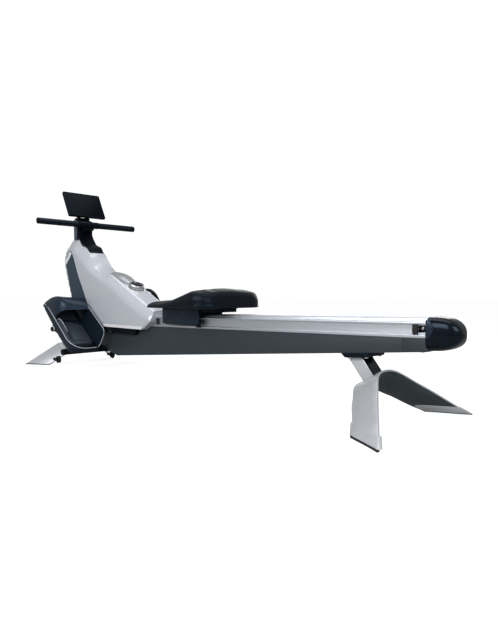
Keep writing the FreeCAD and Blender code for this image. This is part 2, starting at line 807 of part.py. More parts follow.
def mast_inlay():
    """The dark panel on the rower's side of the mast: flat above, running down onto the shoulder."""
    half = MAST_HALF_WIDTH - 2
    upper = box(-1050, MAST_BACK, -half, half, MAST_SEAM_Z + 0.3, MAST_TOP_Z - 8)
    core = box(-1051, MAST_BACK - 3, -half + 3, half - 3, MAST_SEAM_Z, MAST_TOP_Z)
    strap_slot = box(-1060, -1000, -14, 14, HANDLE_Z - 9, HANDLE_Z + 9)
    upper = upper.cut(core).cut(strap_slot)
    skin = prism([
        (-893, 622, 4),
        (-880, 632, 4),
        (-920, 680, 20),
        (-980, 700, 40),
        (-1011, 735, 20),
        (MAST_BACK, 760, 2),
        (MAST_BACK - 3, 760, 0),
        (-1022, 726, 0),
        (-989, 690, 40),
        (-927, 669, 20),
    ], -half, half)
    return join([upper, skin.cut(spine_solid())]).cut(mast_space())


def handle_cradle():
    """The shelf that the handle rests on, open towards the rower."""
    z = HANDLE_Z - CLAMP_RADIUS - CLEARANCE
    shelf = prism([
        (MAST_BACK, z - 34, 0),
        (MAST_BACK + 14, z - 22, 6),
        (MAST_BACK + 58, z - 8, 3),
        (MAST_BACK + 58, z, 2),
        (MAST_BACK, z, 0),
    ], -26, 26)
    return shelf


def console_neck():
    """The black bracket between the mast's top and the console, forked round the hinge pin."""
    base = box(-1086, -1040, -36, 36, MAST_TOP_Z, MAST_TOP_Z + 10)
    ears = []
    for side in (-1, 1):
        y0 = side * 20
        y1 = side * 30
        ears.append(prism([
            (-1078, MAST_TOP_Z + 9, 0),
            (-1042, MAST_TOP_Z + 9, 0),
            (CONSOLE_PIN_X + 10, CONSOLE_PIN_Z - 8, 6),
            (CONSOLE_PIN_X + 10, CONSOLE_PIN_Z + 10, 8),
            (CONSOLE_PIN_X - 12, CONSOLE_PIN_Z + 10, 8),
        ], min(y0, y1), max(y0, y1)))
    fork = join([base] + ears)
    return fork.cut(rod_y(CONSOLE_PIN_X, CONSOLE_PIN_Z, CONSOLE_PIN_RADIUS + SHAFT_FIT, -40, 40))


def console_housing():
    """The tablet's shell with a shallow recess for the screen and a knuckle behind."""
    half_t = SCREEN_THICKNESS / 2
    half_w = SCREEN_WIDTH / 2
    half_h = SCREEN_HEIGHT / 2
    body = prism(rounded(-half_w, half_w, -half_h, half_h, 4), -half_t, half_t, "x")
    recess = prism(rounded(-half_w + 5, half_w - 5, -half_h + 5, half_h - 5, 2), half_t - 3, half_t + 1, "x")
    slab = on_console(body.cut(recess))
    knuckle = rod_y(CONSOLE_PIN_X, CONSOLE_PIN_Z, 11, -19.5, 19.5)
    web = on_console(box(-24, -half_t + 1, -19.5, 19.5, -52, -28))
    whole = join([slab, knuckle, web])
    return whole.cut(rod_y(CONSOLE_PIN_X, CONSOLE_PIN_Z, CONSOLE_PIN_RADIUS, -40, 40))


def console_screen():
    half_t = SCREEN_THICKNESS / 2
    half_w = SCREEN_WIDTH / 2 - 5.2
    half_h = SCREEN_HEIGHT / 2 - 5.2
    return on_console(prism(rounded(-half_w, half_w, -half_h, half_h, 2), half_t - 3, half_t - 0.6, "x"))


def console_pin():
    return rod_y(CONSOLE_PIN_X, CONSOLE_PIN_Z, CONSOLE_PIN_RADIUS, -33, 33)


def fan_guard():
    """The round ribbed grille on the right of the housing, over the flywheel's fins."""
    y0 = HOUSING_HALF_WIDTH
    y1 = y0 + GUARD_DEPTH
    pieces = [ring_y(AXLE_X, AXLE_Z, GUARD_RADIUS, GUARD_RADIUS - 12, y0, y1)]
    pieces.append(rod_y(AXLE_X, AXLE_Z, 24, y0, y1))
    for i in range(1, GUARD_RIBS):
        radius = 24 + (GUARD_RADIUS - 36) * i / GUARD_RIBS
        pieces.append(ring_y(AXLE_X, AXLE_Z, radius + 5, radius - 1, y0 + 4, y1 - 2))
    for i in range(12):
        spoke = box(20, GUARD_RADIUS - 6, y0, y0 + 8, -2, 2)
        spoke.rotate(vec(0, 0, 0), Y_AXIS, 30 * i)
        spoke.translate(vec(AXLE_X, 0, AXLE_Z))
        pieces.append(spoke)
    return join(pieces)


# ---------------------------------------------------------------- drive
def drive_frame():
    """Two steel plates on the beam that carry both axles."""
    plates = []
    for side in (-1, 1):
        y0 = side * 62
        y1 = side * 66
        plate = prism([
            (-470, BEAM_FRONT_TOP + 32, 6),
            (-470, AXLE_Z + 18, 14),
            (-560, AXLE_Z + 22, 14),
            (SPOOL_X + 20, SPOOL_Z + 30, 14),
            (SPOOL_X - 34, SPOOL_Z + 20, 14),
            (-810, BEAM_FRONT_TOP + 32, 6),
        ], min(y0, y1), max(y0, y1))
        bore_a = rod_y(AXLE_X, AXLE_Z, AXLE_RADIUS, -80, 80)
        bore_b = rod_y(SPOOL_X, SPOOL_Z, AXLE_RADIUS, -80, 80)
        foot = box(-800, -640, min(side * 30, y1), max(side * 30, y1), BEAM_FRONT_TOP, BEAM_FRONT_TOP + 4)
        riser = box(-800, -640, min(y0, y1), max(y0, y1), BEAM_FRONT_TOP, BEAM_FRONT_TOP + 40)
        plates.append(join([plate, foot, riser]).cut(bore_a).cut(bore_b))
    return group(plates)


def drive_axles():
    """The fixed axles of the flywheel, the spool and the strap's guide roller."""
    return group([
        rod_y(AXLE_X, AXLE_Z, AXLE_RADIUS, -70, 70),
        rod_y(SPOOL_X, SPOOL_Z, AXLE_RADIUS, -70, 70),
        rod_y(STRAP_ROLLER_X, strap_roller_z(), STRAP_PIN_RADIUS, -22, 22),
    ])


def flywheel():
    """A heavy rim on a web, a small pulley on its left and fan fins on its right."""
    half = FLYWHEEL_WIDTH / 2
    rim = ring_y(AXLE_X, AXLE_Z, FLYWHEEL_RADIUS, FLYWHEEL_RADIUS - 18, -half, half)
    web = rod_y(AXLE_X, AXLE_Z, FLYWHEEL_RADIUS - 10, -5, 5)
    hub = rod_y(AXLE_X, AXLE_Z, 20, -24, 56)
    pulley = rod_y(AXLE_X, AXLE_Z, FLYWHEEL_PULLEY_RADIUS, -44, -24)
    wheel = [rim, web, hub, pulley]
    for i in range(12):
        fin = box(18, FLYWHEEL_RADIUS - 4, half - 14, 52, -1.5, 1.5)
        fin.rotate(vec(0, 0, 0), Y_AXIS, 30 * i)
        fin.translate(vec(AXLE_X, 0, AXLE_Z))
        wheel.append(fin)
    return join(wheel).cut(rod_y(AXLE_X, AXLE_Z, AXLE_RADIUS + SHAFT_FIT, -100, 100))


def strap_spool():
    """The drum that winds the strap, with its belt pulley."""
    drum = rod_y(SPOOL_X, SPOOL_Z, SPOOL_RADIUS, -14, 14)
    flange = rod_y(SPOOL_X, SPOOL_Z, SPOOL_RADIUS + 12, 14, 18)
    near_flange = rod_y(SPOOL_X, SPOOL_Z, SPOOL_RADIUS + 12, -18, -14)
    pulley = rod_y(SPOOL_X, SPOOL_Z, SPOOL_PULLEY_RADIUS, -44, -24)
    hub = rod_y(SPOOL_X, SPOOL_Z, 20, -56, 56)
    whole = join([drum, flange, near_flange, pulley, hub])
    return whole.cut(rod_y(SPOOL_X, SPOOL_Z, AXLE_RADIUS + SHAFT_FIT, -100, 100))


def belt_loop(grow, y0, y1):
    """The filled outside of a belt round both pulleys, with the pulleys grown by a distance."""
    big = SPOOL_PULLEY_RADIUS + grow
    small = FLYWHEEL_PULLEY_RADIUS + grow
    dx = AXLE_X - SPOOL_X
    dz = AXLE_Z - SPOOL_Z
    distance = math.hypot(dx, dz)
    along = math.atan2(dz, dx)
    spread = math.acos((big - small) / distance)
    corners = []
    for angle, centre_x, centre_z, radius in (
        (along - spread, SPOOL_X, SPOOL_Z, big),
        (along - spread, AXLE_X, AXLE_Z, small),
        (along + spread, AXLE_X, AXLE_Z, small),
        (along + spread, SPOOL_X, SPOOL_Z, big),
    ):
        corners.append((centre_x + radius * math.cos(angle), centre_z + radius * math.sin(angle), 0))
    band = prism(corners, y0, y1)
    return join([band, rod_y(SPOOL_X, SPOOL_Z, big, y0, y1), rod_y(AXLE_X, AXLE_Z, small, y0, y1)])


def drive_belt():
    y0 = -34 - BELT_WIDTH / 2
    y1 = -34 + BELT_WIDTH / 2
    return belt_loop(CLEARANCE + BELT_THICKNESS, y0, y1).cut(belt_loop(CLEARANCE, y0 - 1, y1 + 1))


def magnet_arm():
    """The curved arm with the brake magnets, above the flywheel's rim."""
    inner = FLYWHEEL_RADIUS + MAGNET_GAP
    outer = inner + MAGNET_THICKNESS
    reach = outer + 40
    sector = prism([
        (AXLE_X, AXLE_Z, 0),
        (AXLE_X - reach, AXLE_Z + 0.43 * reach, 0),
        (AXLE_X - 0.62 * reach, AXLE_Z + reach, 0),
        (AXLE_X - 0.04 * reach, AXLE_Z + reach, 0),
    ], -21, 21)
    arc = ring_y(AXLE_X, AXLE_Z, outer, inner, -20, 20).common(sector)
    lug_low = AXLE_Z + 0.28 * inner
    lug = box(AXLE_X - outer - 7, AXLE_X - inner + 8, -61.5, 61.5, lug_low, lug_low + 14)
    return join([arc, lug.cut(rod_y(AXLE_X, AXLE_Z, inner, -70, 70))])


def strap_roller_z():
    return HANDLE_Z - STRAP_THICKNESS / 2 - ROLLER_RADIUS - CLEARANCE


def strap_roller():
    """The guide roller at the mast's top that the strap runs over."""
    return ring_y(STRAP_ROLLER_X, strap_roller_z(), ROLLER_RADIUS, STRAP_PIN_RADIUS + SHAFT_FIT, -15, 15)


# ---------------------------------------------------------------- dial
def dial_collar():
    plate = Part.makeCone(COLLAR_RADIUS, COLLAR_RADIUS - 5, COLLAR_HEIGHT, vec(0, 0, 0.0))
    return on_slope(plate.cut(Part.makeCylinder(9.0, 40, vec(0, 0, -5))), DIAL_X)


def dial_knob():
    """The turning knob with its spindle."""
    low = COLLAR_HEIGHT + 2
    knob = Part.makeCone(DIAL_RADIUS, DIAL_RADIUS - 4, DIAL_HEIGHT, vec(0, 0, low))
    for i in range(24):
        angle = 2 * math.pi * i / 24
        scallop = Part.makeCylinder(
            1.6, DIAL_HEIGHT - 6, vec(DIAL_RADIUS * math.cos(angle), DIAL_RADIUS * math.sin(angle), low + 3))
        knob = knob.cut(scallop)
    recess = Part.makeCylinder(DIAL_RADIUS - 8, 5, vec(0, 0, low + DIAL_HEIGHT - 2))
    spindle = Part.makeCylinder(8.0, low + 25, vec(0, 0, -24))
    return on_slope(join([knob.cut(recess), spindle]), DIAL_X)


def dial_face():
    low = COLLAR_HEIGHT + 2 + DIAL_HEIGHT - 2
    return on_slope(Part.makeCylinder(DIAL_RADIUS - 8.2, 1.6, vec(0, 0, low)), DIAL_X)


# ---------------------------------------------------------------- handle
def handle_bar():
    half = HANDLE_LENGTH / 2 - 3
    return ring_y(HANDLE_X, HANDLE_Z, HANDLE_TUBE_RADIUS, HANDLE_TUBE_RADIUS - 2, -half, half)


def handle_grips():
    end = HANDLE_LENGTH / 2 - 2
    start = end - GRIP_LENGTH
    grip = ring_y(HANDLE_X, HANDLE_Z, GRIP_RADIUS, HANDLE_TUBE_RADIUS, start, end)
    return group([grip, mirrored(grip)])


def handle_clamp():
    half = CLAMP_LENGTH / 2
    sleeve = ring_y(HANDLE_X, HANDLE_Z, CLAMP_RADIUS, HANDLE_TUBE_RADIUS, -half, half)
    tab = box(HANDLE_X - CLAMP_RADIUS - 8, HANDLE_X - CLAMP_RADIUS + 4, -15, 15, HANDLE_Z - 7, HANDLE_Z + 7)
    tab = tab.cut(rod_y(HANDLE_X, HANDLE_Z, HANDLE_TUBE_RADIUS, -60, 60))
    return join([sleeve, tab])


def handle_end_plugs():
    half = HANDLE_LENGTH / 2
    plug = join([
        rod_y(HANDLE_X, HANDLE_Z, GRIP_RADIUS - 1, half - 2, half),
        rod_y(HANDLE_X, HANDLE_Z, HANDLE_TUBE_RADIUS - 2, half - 18, half - 1),
    ])
    plug = plug.cut(ring_y(HANDLE_X, HANDLE_Z, 40, HANDLE_TUBE_RADIUS - 2, half - 20, half - 2))
    return group([plug, mirrored(plug)])


def pull_strap():
    x0 = -1050.0
    x1 = HANDLE_X - CLAMP_RADIUS - 8
    half = STRAP_WIDTH / 2
    return box(x0, x1, -half, half, HANDLE_Z - STRAP_THICKNESS / 2, HANDLE_Z + STRAP_THICKNESS / 2)


# ---------------------------------------------------------------- seat
def deck_height():
    """Height of the carriage's top plate above the rail's underside."""
    return RAIL_SHOULDER_HEIGHT + 2 * TOP_ROLLER_RADIUS + 4


def carriage_frame():
    """A folded channel over the rail, with the roller pins."""
    x0 = SEAT_MID_X - CARRIAGE_LENGTH / 2
    x1 = SEAT_MID_X + CARRIAGE_LENGTH / 2
    deck = deck_height()
    y_in = CARRIAGE_PLATE_Y
    y_out = CARRIAGE_PLATE_Y + CARRIAGE_PLATE_THICKNESS
    pieces = [box(x0, x1 + DECK_OVERHANG, -y_out, y_out, deck, deck + DECK_THICKNESS)]
    for side in (-1, 1):
        y0 = side * y_in
        y1 = side * y_out
        pieces.append(prism([
            (x0 + 4, 14, 8),
            (x1 - 4, 14, 8),
            (x1 - 4, deck + 1, 0),
            (x0 + 4, deck + 1, 0),
        ], min(y0, y1), max(y0, y1)))
        lug = prism([
            (x1 - 30, 4, 6),
            (x1 + 6, 4, 6),
            (x1 + 6, 40, 3),
            (x1 - 30, 40, 3),
        ], min(y0, y1), max(y0, y1))
        pieces.append(lug)
    return on_rail(join(pieces))


def roller_height(kind):
    if kind == "top":
        return RAIL_SHOULDER_HEIGHT + TOP_ROLLER_RADIUS + CLEARANCE
    return RAIL_SHOULDER_HEIGHT - RAIL_LIP_HEIGHT - LOWER_ROLLER_RADIUS - CLEARANCE - 1


def roller_pins():
    """Short pins riveted into the carriage's side plates."""
    pins = []
    y_out = CARRIAGE_PLATE_Y
    for x in (SEAT_MID_X - WHEELBASE / 2, SEAT_MID_X + WHEELBASE / 2):
        pins.append(rod_y(x, roller_height("top"), 4, RAIL_CROWN_HALF + 3, y_out))
    pins.append(rod_y(SEAT_MID_X, roller_height("low"), 4, RAIL_WEB_HALF + 1, y_out))
    placed = [on_rail(pin) for pin in pins]
    return group(placed + [mirrored(pin) for pin in placed])


def roller_pair(x, kind):
    """The two rollers on one line across the carriage."""
    z = roller_height(kind)
    if kind == "top":
        y0 = RAIL_CROWN_HALF + 4
        y1 = y0 + TOP_ROLLER_WIDTH
        radius = TOP_ROLLER_RADIUS
    else:
        y0 = RAIL_WEB_HALF + 1.2
        y1 = CARRIAGE_PLATE_Y - 1
        radius = LOWER_ROLLER_RADIUS
    roller = ring_y(x, z, radius, 4 + SHAFT_FIT, y0, y1)
    roller = on_rail(roller)
    return group([roller, mirrored(roller)])


def carriage_covers():
    """The dark boxes on both sides of the carriage, each with a small round hole."""
    x0 = SEAT_MID_X - CARRIAGE_LENGTH / 2
    x1 = SEAT_MID_X + CARRIAGE_LENGTH / 2
    top = deck_height() + DECK_THICKNESS
    y0 = CARRIAGE_PLATE_Y + CARRIAGE_PLATE_THICKNESS
    y1 = y0 + COVER_THICKNESS
    cover = prism([
        (x0, top - COVER_DEPTH, 9),
        (x1, top - COVER_DEPTH, 9),
        (x1, top, 2),
        (x0, top, 2),
    ], y0, y1)
    lip = box(x0 + 9, x1 - 9, y1 - 1, y1 + 1.5, top - COVER_DEPTH, top - COVER_DEPTH + 4)
    hole = rod_y(SEAT_MID_X - 10, top - 16, 4, y1 - 4, y1 + 3)
    cover = on_rail(join([cover, lip]).cut(hole))
    return group([cover, mirrored(cover)])


def seat_base():
    """The moulded tray between the carriage and the pad."""
    deck = deck_height() + DECK_THICKNESS
    start = SEAT_MID_X - PAD_LEAD + 12
    plan = rounded(start, start + BASE_LENGTH, -95, 95, 40)
    return on_rail(prism(plan, deck, deck + BASE_THICKNESS, "z"))


def seat_pad():
    """The saddle-shaped cushion as a plain closed solid: low front lip, hump towards the rear."""
    z = deck_height() + DECK_THICKNESS + BASE_THICKNESS
    x0 = SEAT_MID_X - PAD_LEAD
    x1 = x0 + PAD_LENGTH
    side = prism([
        (x0, z, 8),
        (x1, z, 8),
        (x1 - 4, z + PAD_HEIGHT * 0.7, 40),
        (x1 - 100, z + PAD_HEIGHT, 140),
        (x0 + 190, z + PAD_HEIGHT * 0.9, 200),
        (x0 + 90, z + PAD_FRONT_HEIGHT, 60),
        (x0, z + PAD_FRONT_HEIGHT, 12),
    ], -PAD_HALF_WIDTH, PAD_HALF_WIDTH)
    plan = prism(rounded(x0, x1, -PAD_HALF_WIDTH, PAD_HALF_WIDTH, 70), z - 1, z + PAD_HEIGHT + 1, "z")
    return on_rail(side.common(plan))


# ---------------------------------------------------------------- footrests
def footrest():
    """The right footrest: a tray with a low outer rim, a closed heel and a tall inner wall."""
    floor_top = -FOOT_FLOOR_DEPTH
    floor_low = floor_top - FOOT_FLOOR_THICKNESS
    tray = prism([
        (20, floor_low + 8, 10),
        (20, 0, 8),
        (-FOOT_LENGTH + 30, 0, 4),
        (-FOOT_LENGTH, -14, 4),
        (-FOOT_LENGTH + 4, floor_low + 6, 8),
        (-150, floor_low - 8, 120),
        (0, floor_low, 12),
    ][::-1], FOOT_INNER_Y, FOOT_OUTER_Y)
    plan = [
        (20, FOOT_INNER_Y, 14),
        (20, FOOT_OUTER_Y, 44),
        (-FOOT_LENGTH, FOOT_OUTER_Y, 30),
        (-FOOT_LENGTH, FOOT_INNER_Y, 12),
    ]
    tray = tray.common(prism(plan, floor_low - 20, 1, "z"))
    hollow = prism(inset(plan, FOOT_WALL), floor_top, 10, "z")
    wall = prism([
        (18, -10, 6),
        (18, INNER_WALL_HEIGHT, 26),
        (-HOOD_START + 0.5, INNER_WALL_HEIGHT - 8, 10),
        (-HOOD_START + 0.5, -10, 0),
    ][::-1], FOOT_INNER_Y, FOOT_INNER_Y + FOOT_WALL)
    lug = prism([
        (-40, floor_low - 4, 0),
        (-160, floor_low - 4, 0),
        (-100, floor_low - 60, 18),
        (-84, floor_low - 60, 18),
    ][::-1], 150, 190)
    body = on_foot(join([tray.cut(hollow), wall, lug]))
    return body.cut(rod_y(BAR_X, BAR_Z, BAR_RADIUS, 60, 300))


def toe_hood():
    """The wide moulded hood over the toes, open towards the heel."""
    x1 = -HOOD_START
    x0 = x1 - HOOD_LENGTH
    section = [
        (FOOT_INNER_Y, 0.3, 0),
        (FOOT_OUTER_Y, 0.3, 0),
        (FOOT_OUTER_Y, HOOD_HEIGHT * 0.7, 45),
        (FOOT_OUTER_Y - 50, HOOD_HEIGHT, 60),
        (FOOT_INNER_Y, HOOD_HEIGHT + 6, 30),
    ]
    side = [
        (x0, 0.3, 0),
        (x1, 0.3, 0),
        (x1, HOOD_HEIGHT + 8, 10),
        (x1 - 90, HOOD_HEIGHT + 8, 60),
        (x0, 40, 30),
    ]
    outer = prism(section, x0, x1, "x").common(prism(side, 0, 400))
    inner = prism(inset(section, HOOD_WALL), x0, x1 + 1, "x")
    inner = inner.common(prism(inset(side, HOOD_WALL), 0, 400))
    mouth = prism(inset(section, HOOD_WALL), x1 - 12, x1 + 1, "x")
    drop = box(x0 + HOOD_WALL, x1 + 1, FOOT_INNER_Y + HOOD_WALL, FOOT_OUTER_Y - HOOD_WALL, 0, HOOD_WALL + 1)
    return on_foot(outer.cut(inner).cut(mouth).cut(drop))


def heel_cup():
    """The sliding insert under the heel: a thin ribbed sole with a raised rim."""
    gap = CLEARANCE
    y0 = FOOT_INNER_Y + FOOT_WALL + gap
    y1 = FOOT_OUTER_Y - FOOT_WALL - gap
    low = -FOOT_FLOOR_DEPTH + gap
    x1 = -14.0
    x0 = -196.0
    plan = [(x0, y0, 12), (x1, y0, 45), (x1, y1, 45), (x0, y1, 12)]
    body = prism(plan, low, low + 36, "z")
    bowl = prism(inset(plan, 4), low + 5, low + 40, "z")
    front = box(x0 - 1, x0 + 26, y0 + 4, y1 - 4, low + 5, low + 40)
    slant = prism([(x0 - 2, low + 8, 0), (x0 + 90, low + 37, 0), (x0 - 2, low + 37, 0)], 0, 400)
    cup = body.cut(bowl).cut(front).cut(slant)
    ribs = [cup]
    for i in range(10):
        x = x0 + 14 + i * 15
        ribs.append(box(x, x + 5, y0 + 16, y1 - 16, low + 4, low + 6.2))
    return on_foot(join(ribs))


def support_bar():
    """The steel bar under both footrests, with its saddle on the beam."""
    bar = rod_y(BAR_X, BAR_Z, BAR_RADIUS, -BAR_HALF_LENGTH, BAR_HALF_LENGTH)
    saddle = prism([
        (BAR_X - 34, BAR_Z + 2, 4),
        (BAR_X + 34, BAR_Z + 2, 4),
        (BAR_X + 34, BEAM_FRONT_TOP, 0),
        (BAR_X - 34, BEAM_FRONT_TOP, 0),
    ], -BEAM_HALF_WIDTH - 4, BEAM_HALF_WIDTH + 4)
    space = prism(beam_outline(BEAM_REAR), -BEAM_HALF_WIDTH, BEAM_HALF_WIDTH)
    above = box(-1200, 0, -100, 100, 160, 400)
    return join([bar, saddle.cut(space).cut(above)])


# ---------------------------------------------------------------- fasteners
def button_head(x, y, z, tilt_deg):
    """An M8 button head whose flat side is up, tilted about Y with the face that it sits on."""
    head = Part.makeCone(7, 5, 4, vec(0, 0, 0), vec(0, 0, -1))
    head.rotate(vec(0, 0, 0), Y_AXIS, -tilt_deg)
    head.translate(vec(x, y, z))
    return head


def frame_bolts():
    """The button heads under the bracket and the plug, and the screws in the rail's cutouts."""
    tilt = math.degrees(math.atan(BEAM_BOTTOM_SLOPE))
    bolts = []
    for x in (BRACKET_FRONT + 28, BRACKET_FRONT + BRACKET_LENGTH - 14):
        for side in (-1, 1):
            bolts.append(button_head(x, side * (BRACKET_HALF_WIDTH - 10), bracket_low(x), tilt))
    plug_bolt = BEAM_REAR + 44
    bolts.append(button_head(plug_bolt, 0, beam_bottom(plug_bolt), tilt))
    for side in (-1, 1):
        z0 = (RAIL_SHOULDER_HEIGHT + RAIL_FLANGE_HEIGHT) / 2
        y = side * (RAIL_HALF_WIDTH - CUTOUT_DEPTH)
        screw = Part.makeCone(5, 4, 3, vec(RAIL_REAR - CUTOUT_LENGTH / 2, y, z0), vec(0, side, 0))
        bolts.append(on_rail(screw))
    return group(bolts)


# ---------------------------------------------------------------- write the files
def main():
    right_foot = footrest()
    right_hood = toe_hood()
    right_cup = heel_cup()
    nodes = {
        "main_beam": main_beam(),
        "beam_rear_plug": beam_rear_plug(),
        "seat_rail": seat_rail(),
        "rail_end_cap": rail_end_cap(),
        "rail_stops": rail_stops(),
        "rail_side_plates": rail_side_plates(),
        "rear_leg_bracket": rear_leg_bracket(),
        "rear_leg_post": rear_leg_post(),
        "rear_leg_arch": rear_arch(PAD_THICKNESS, 400),
        "front_leg_bracket": front_leg_bracket(),
        "front_leg_arch": front_arch(PAD_THICKNESS, 400),
        "foot_pads": foot_pads(),
        "transport_wheel_left": transport_wheel(-1),
        "transport_wheel_right": transport_wheel(1),
        "housing_shell_left": housing_shell(-1),
        "housing_shell_right": housing_shell(1),
        "side_panel_left": side_panel(-1),
        "side_panel_right": side_panel(1),
        "spine_cover": spine_cover(),
        "slope_dome": slope_dome(),
        "mast_post": mast_post(),
        "mast_cap": mast_cap(),
        "mast_inlay": mast_inlay(),
        "handle_cradle": handle_cradle(),
        "console_neck": console_neck(),
        "console_housing": console_housing(),
        "console_screen": console_screen(),
        "console_pin": console_pin(),
        "fan_guard": fan_guard(),
        "drive_frame": drive_frame(),
        "drive_axles": drive_axles(),
        "flywheel": flywheel(),
        "strap_spool": strap_spool(),
        "drive_belt": drive_belt(),
        "magnet_arm": magnet_arm(),
        "strap_roller": strap_roller(),
        "dial_collar": dial_collar(),
        "dial_knob": dial_knob(),
        "dial_face": dial_face(),
        "handle_bar": handle_bar(),
        "handle_grips": handle_grips(),
        "handle_clamp": handle_clamp(),
        "handle_end_plugs": handle_end_plugs(),
        "pull_strap": pull_strap(),
        "carriage_frame": carriage_frame(),
        "roller_pins": roller_pins(),
        "front_rollers": roller_pair(SEAT_MID_X - WHEELBASE / 2, "top"),
        "rear_rollers": roller_pair(SEAT_MID_X + WHEELBASE / 2, "top"),
        "lower_rollers": roller_pair(SEAT_MID_X, "low"),
        "carriage_covers": carriage_covers(),
        "seat_base": seat_base(),
        "seat_pad": seat_pad(),
        "support_bar": support_bar(),
        "footrest_left": mirrored(right_foot),
        "footrest_right": right_foot,
        "toe_hood_left": mirrored(right_hood),
        "toe_hood_right": right_hood,
        "heel_cup_left": mirrored(right_cup),
        "heel_cup_right": right_cup,
        "frame_bolts": frame_bolts(),
    }
    os.makedirs("parts", exist_ok=True)
    for name, shape in nodes.items():
        shape.exportStep("parts/" + name + ".step")
        bounds = shape.BoundBox
        print(name, len(shape.Solids), shape.isValid(), round(shape.Volume / 1000, 1),
              [round(v) for v in (bounds.XMin, bounds.XMax, bounds.YMin, bounds.YMax, bounds.ZMin, bounds.ZMax)])
    print(len(nodes), "nodes")


main()
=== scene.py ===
# %% [markdown]
# # A rowing machine, dressed for the studio
# The metal frame, the drive and every joint of this machine already exist as a packed set of solids.
# This lesson puts the real surfaces round them: soft mouldings, brushed metal, leather and rubber.
# We start by loading that set, because each piece that we make takes its place from it.

# %% Load the solids and note their box
import json
import math
import bmesh
import bpy
from mathutils import Matrix, Vector


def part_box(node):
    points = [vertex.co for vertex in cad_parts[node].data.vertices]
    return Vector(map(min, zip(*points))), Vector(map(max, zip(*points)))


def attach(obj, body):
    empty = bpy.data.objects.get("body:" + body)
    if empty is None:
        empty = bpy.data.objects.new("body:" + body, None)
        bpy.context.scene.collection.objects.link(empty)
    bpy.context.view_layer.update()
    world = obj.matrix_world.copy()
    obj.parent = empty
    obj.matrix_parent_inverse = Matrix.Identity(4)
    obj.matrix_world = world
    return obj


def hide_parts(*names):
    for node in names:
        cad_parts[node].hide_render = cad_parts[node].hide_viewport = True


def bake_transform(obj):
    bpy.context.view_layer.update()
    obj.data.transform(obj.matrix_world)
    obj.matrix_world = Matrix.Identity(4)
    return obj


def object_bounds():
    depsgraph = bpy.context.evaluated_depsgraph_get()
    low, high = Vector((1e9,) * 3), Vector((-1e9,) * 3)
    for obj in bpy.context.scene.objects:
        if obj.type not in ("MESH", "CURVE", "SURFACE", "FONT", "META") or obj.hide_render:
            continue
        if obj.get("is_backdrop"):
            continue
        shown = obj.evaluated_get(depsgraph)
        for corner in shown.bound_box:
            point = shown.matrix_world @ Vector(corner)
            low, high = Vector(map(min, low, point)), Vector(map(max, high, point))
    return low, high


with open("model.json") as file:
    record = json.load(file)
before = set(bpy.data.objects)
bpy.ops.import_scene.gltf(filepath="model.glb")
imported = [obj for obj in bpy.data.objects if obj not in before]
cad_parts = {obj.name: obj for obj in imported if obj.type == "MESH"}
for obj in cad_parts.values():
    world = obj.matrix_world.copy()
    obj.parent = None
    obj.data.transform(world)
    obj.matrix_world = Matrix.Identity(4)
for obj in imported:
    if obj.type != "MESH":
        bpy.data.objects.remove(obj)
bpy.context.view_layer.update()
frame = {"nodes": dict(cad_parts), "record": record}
body_of = {node: body for body, nodes in frame["record"]["behaviour"]["bodies"].items() for node in nodes}
MM = 0.001

# %% [markdown]
# ## Writing shader sums as plain sums
# A finish is mostly arithmetic on a pattern: a little darker here, a little rougher there.
# Wiring maths nodes by hand hides that, so one small class wraps a socket and lets us write
# `0.4 + 0.1 * grain`. Everything else, from noise to bump, comes from one method that sets a
# node's settings first and then its inputs.

# %% A finish and its wires


class Wire:
    """A shader socket that can stand in a sum."""

    def __init__(self, finish, socket):
        self.finish = finish
        self.socket = socket

    def sum(self, operation, first, second):
        return self.finish.add("ShaderNodeMath", {"operation": operation}, {0: first, 1: second})

    def __add__(self, other):
        return self.sum("ADD", self, other)

    def __sub__(self, other):
        return self.sum("SUBTRACT", self, other)

    def __rsub__(self, other):
        return self.sum("SUBTRACT", other, self)

    def __mul__(self, other):
        return self.sum("MULTIPLY", self, other)

    def __gt__(self, other):
        return self.sum("GREATER_THAN", self, other)

    __radd__ = __add__
    __rmul__ = __mul__


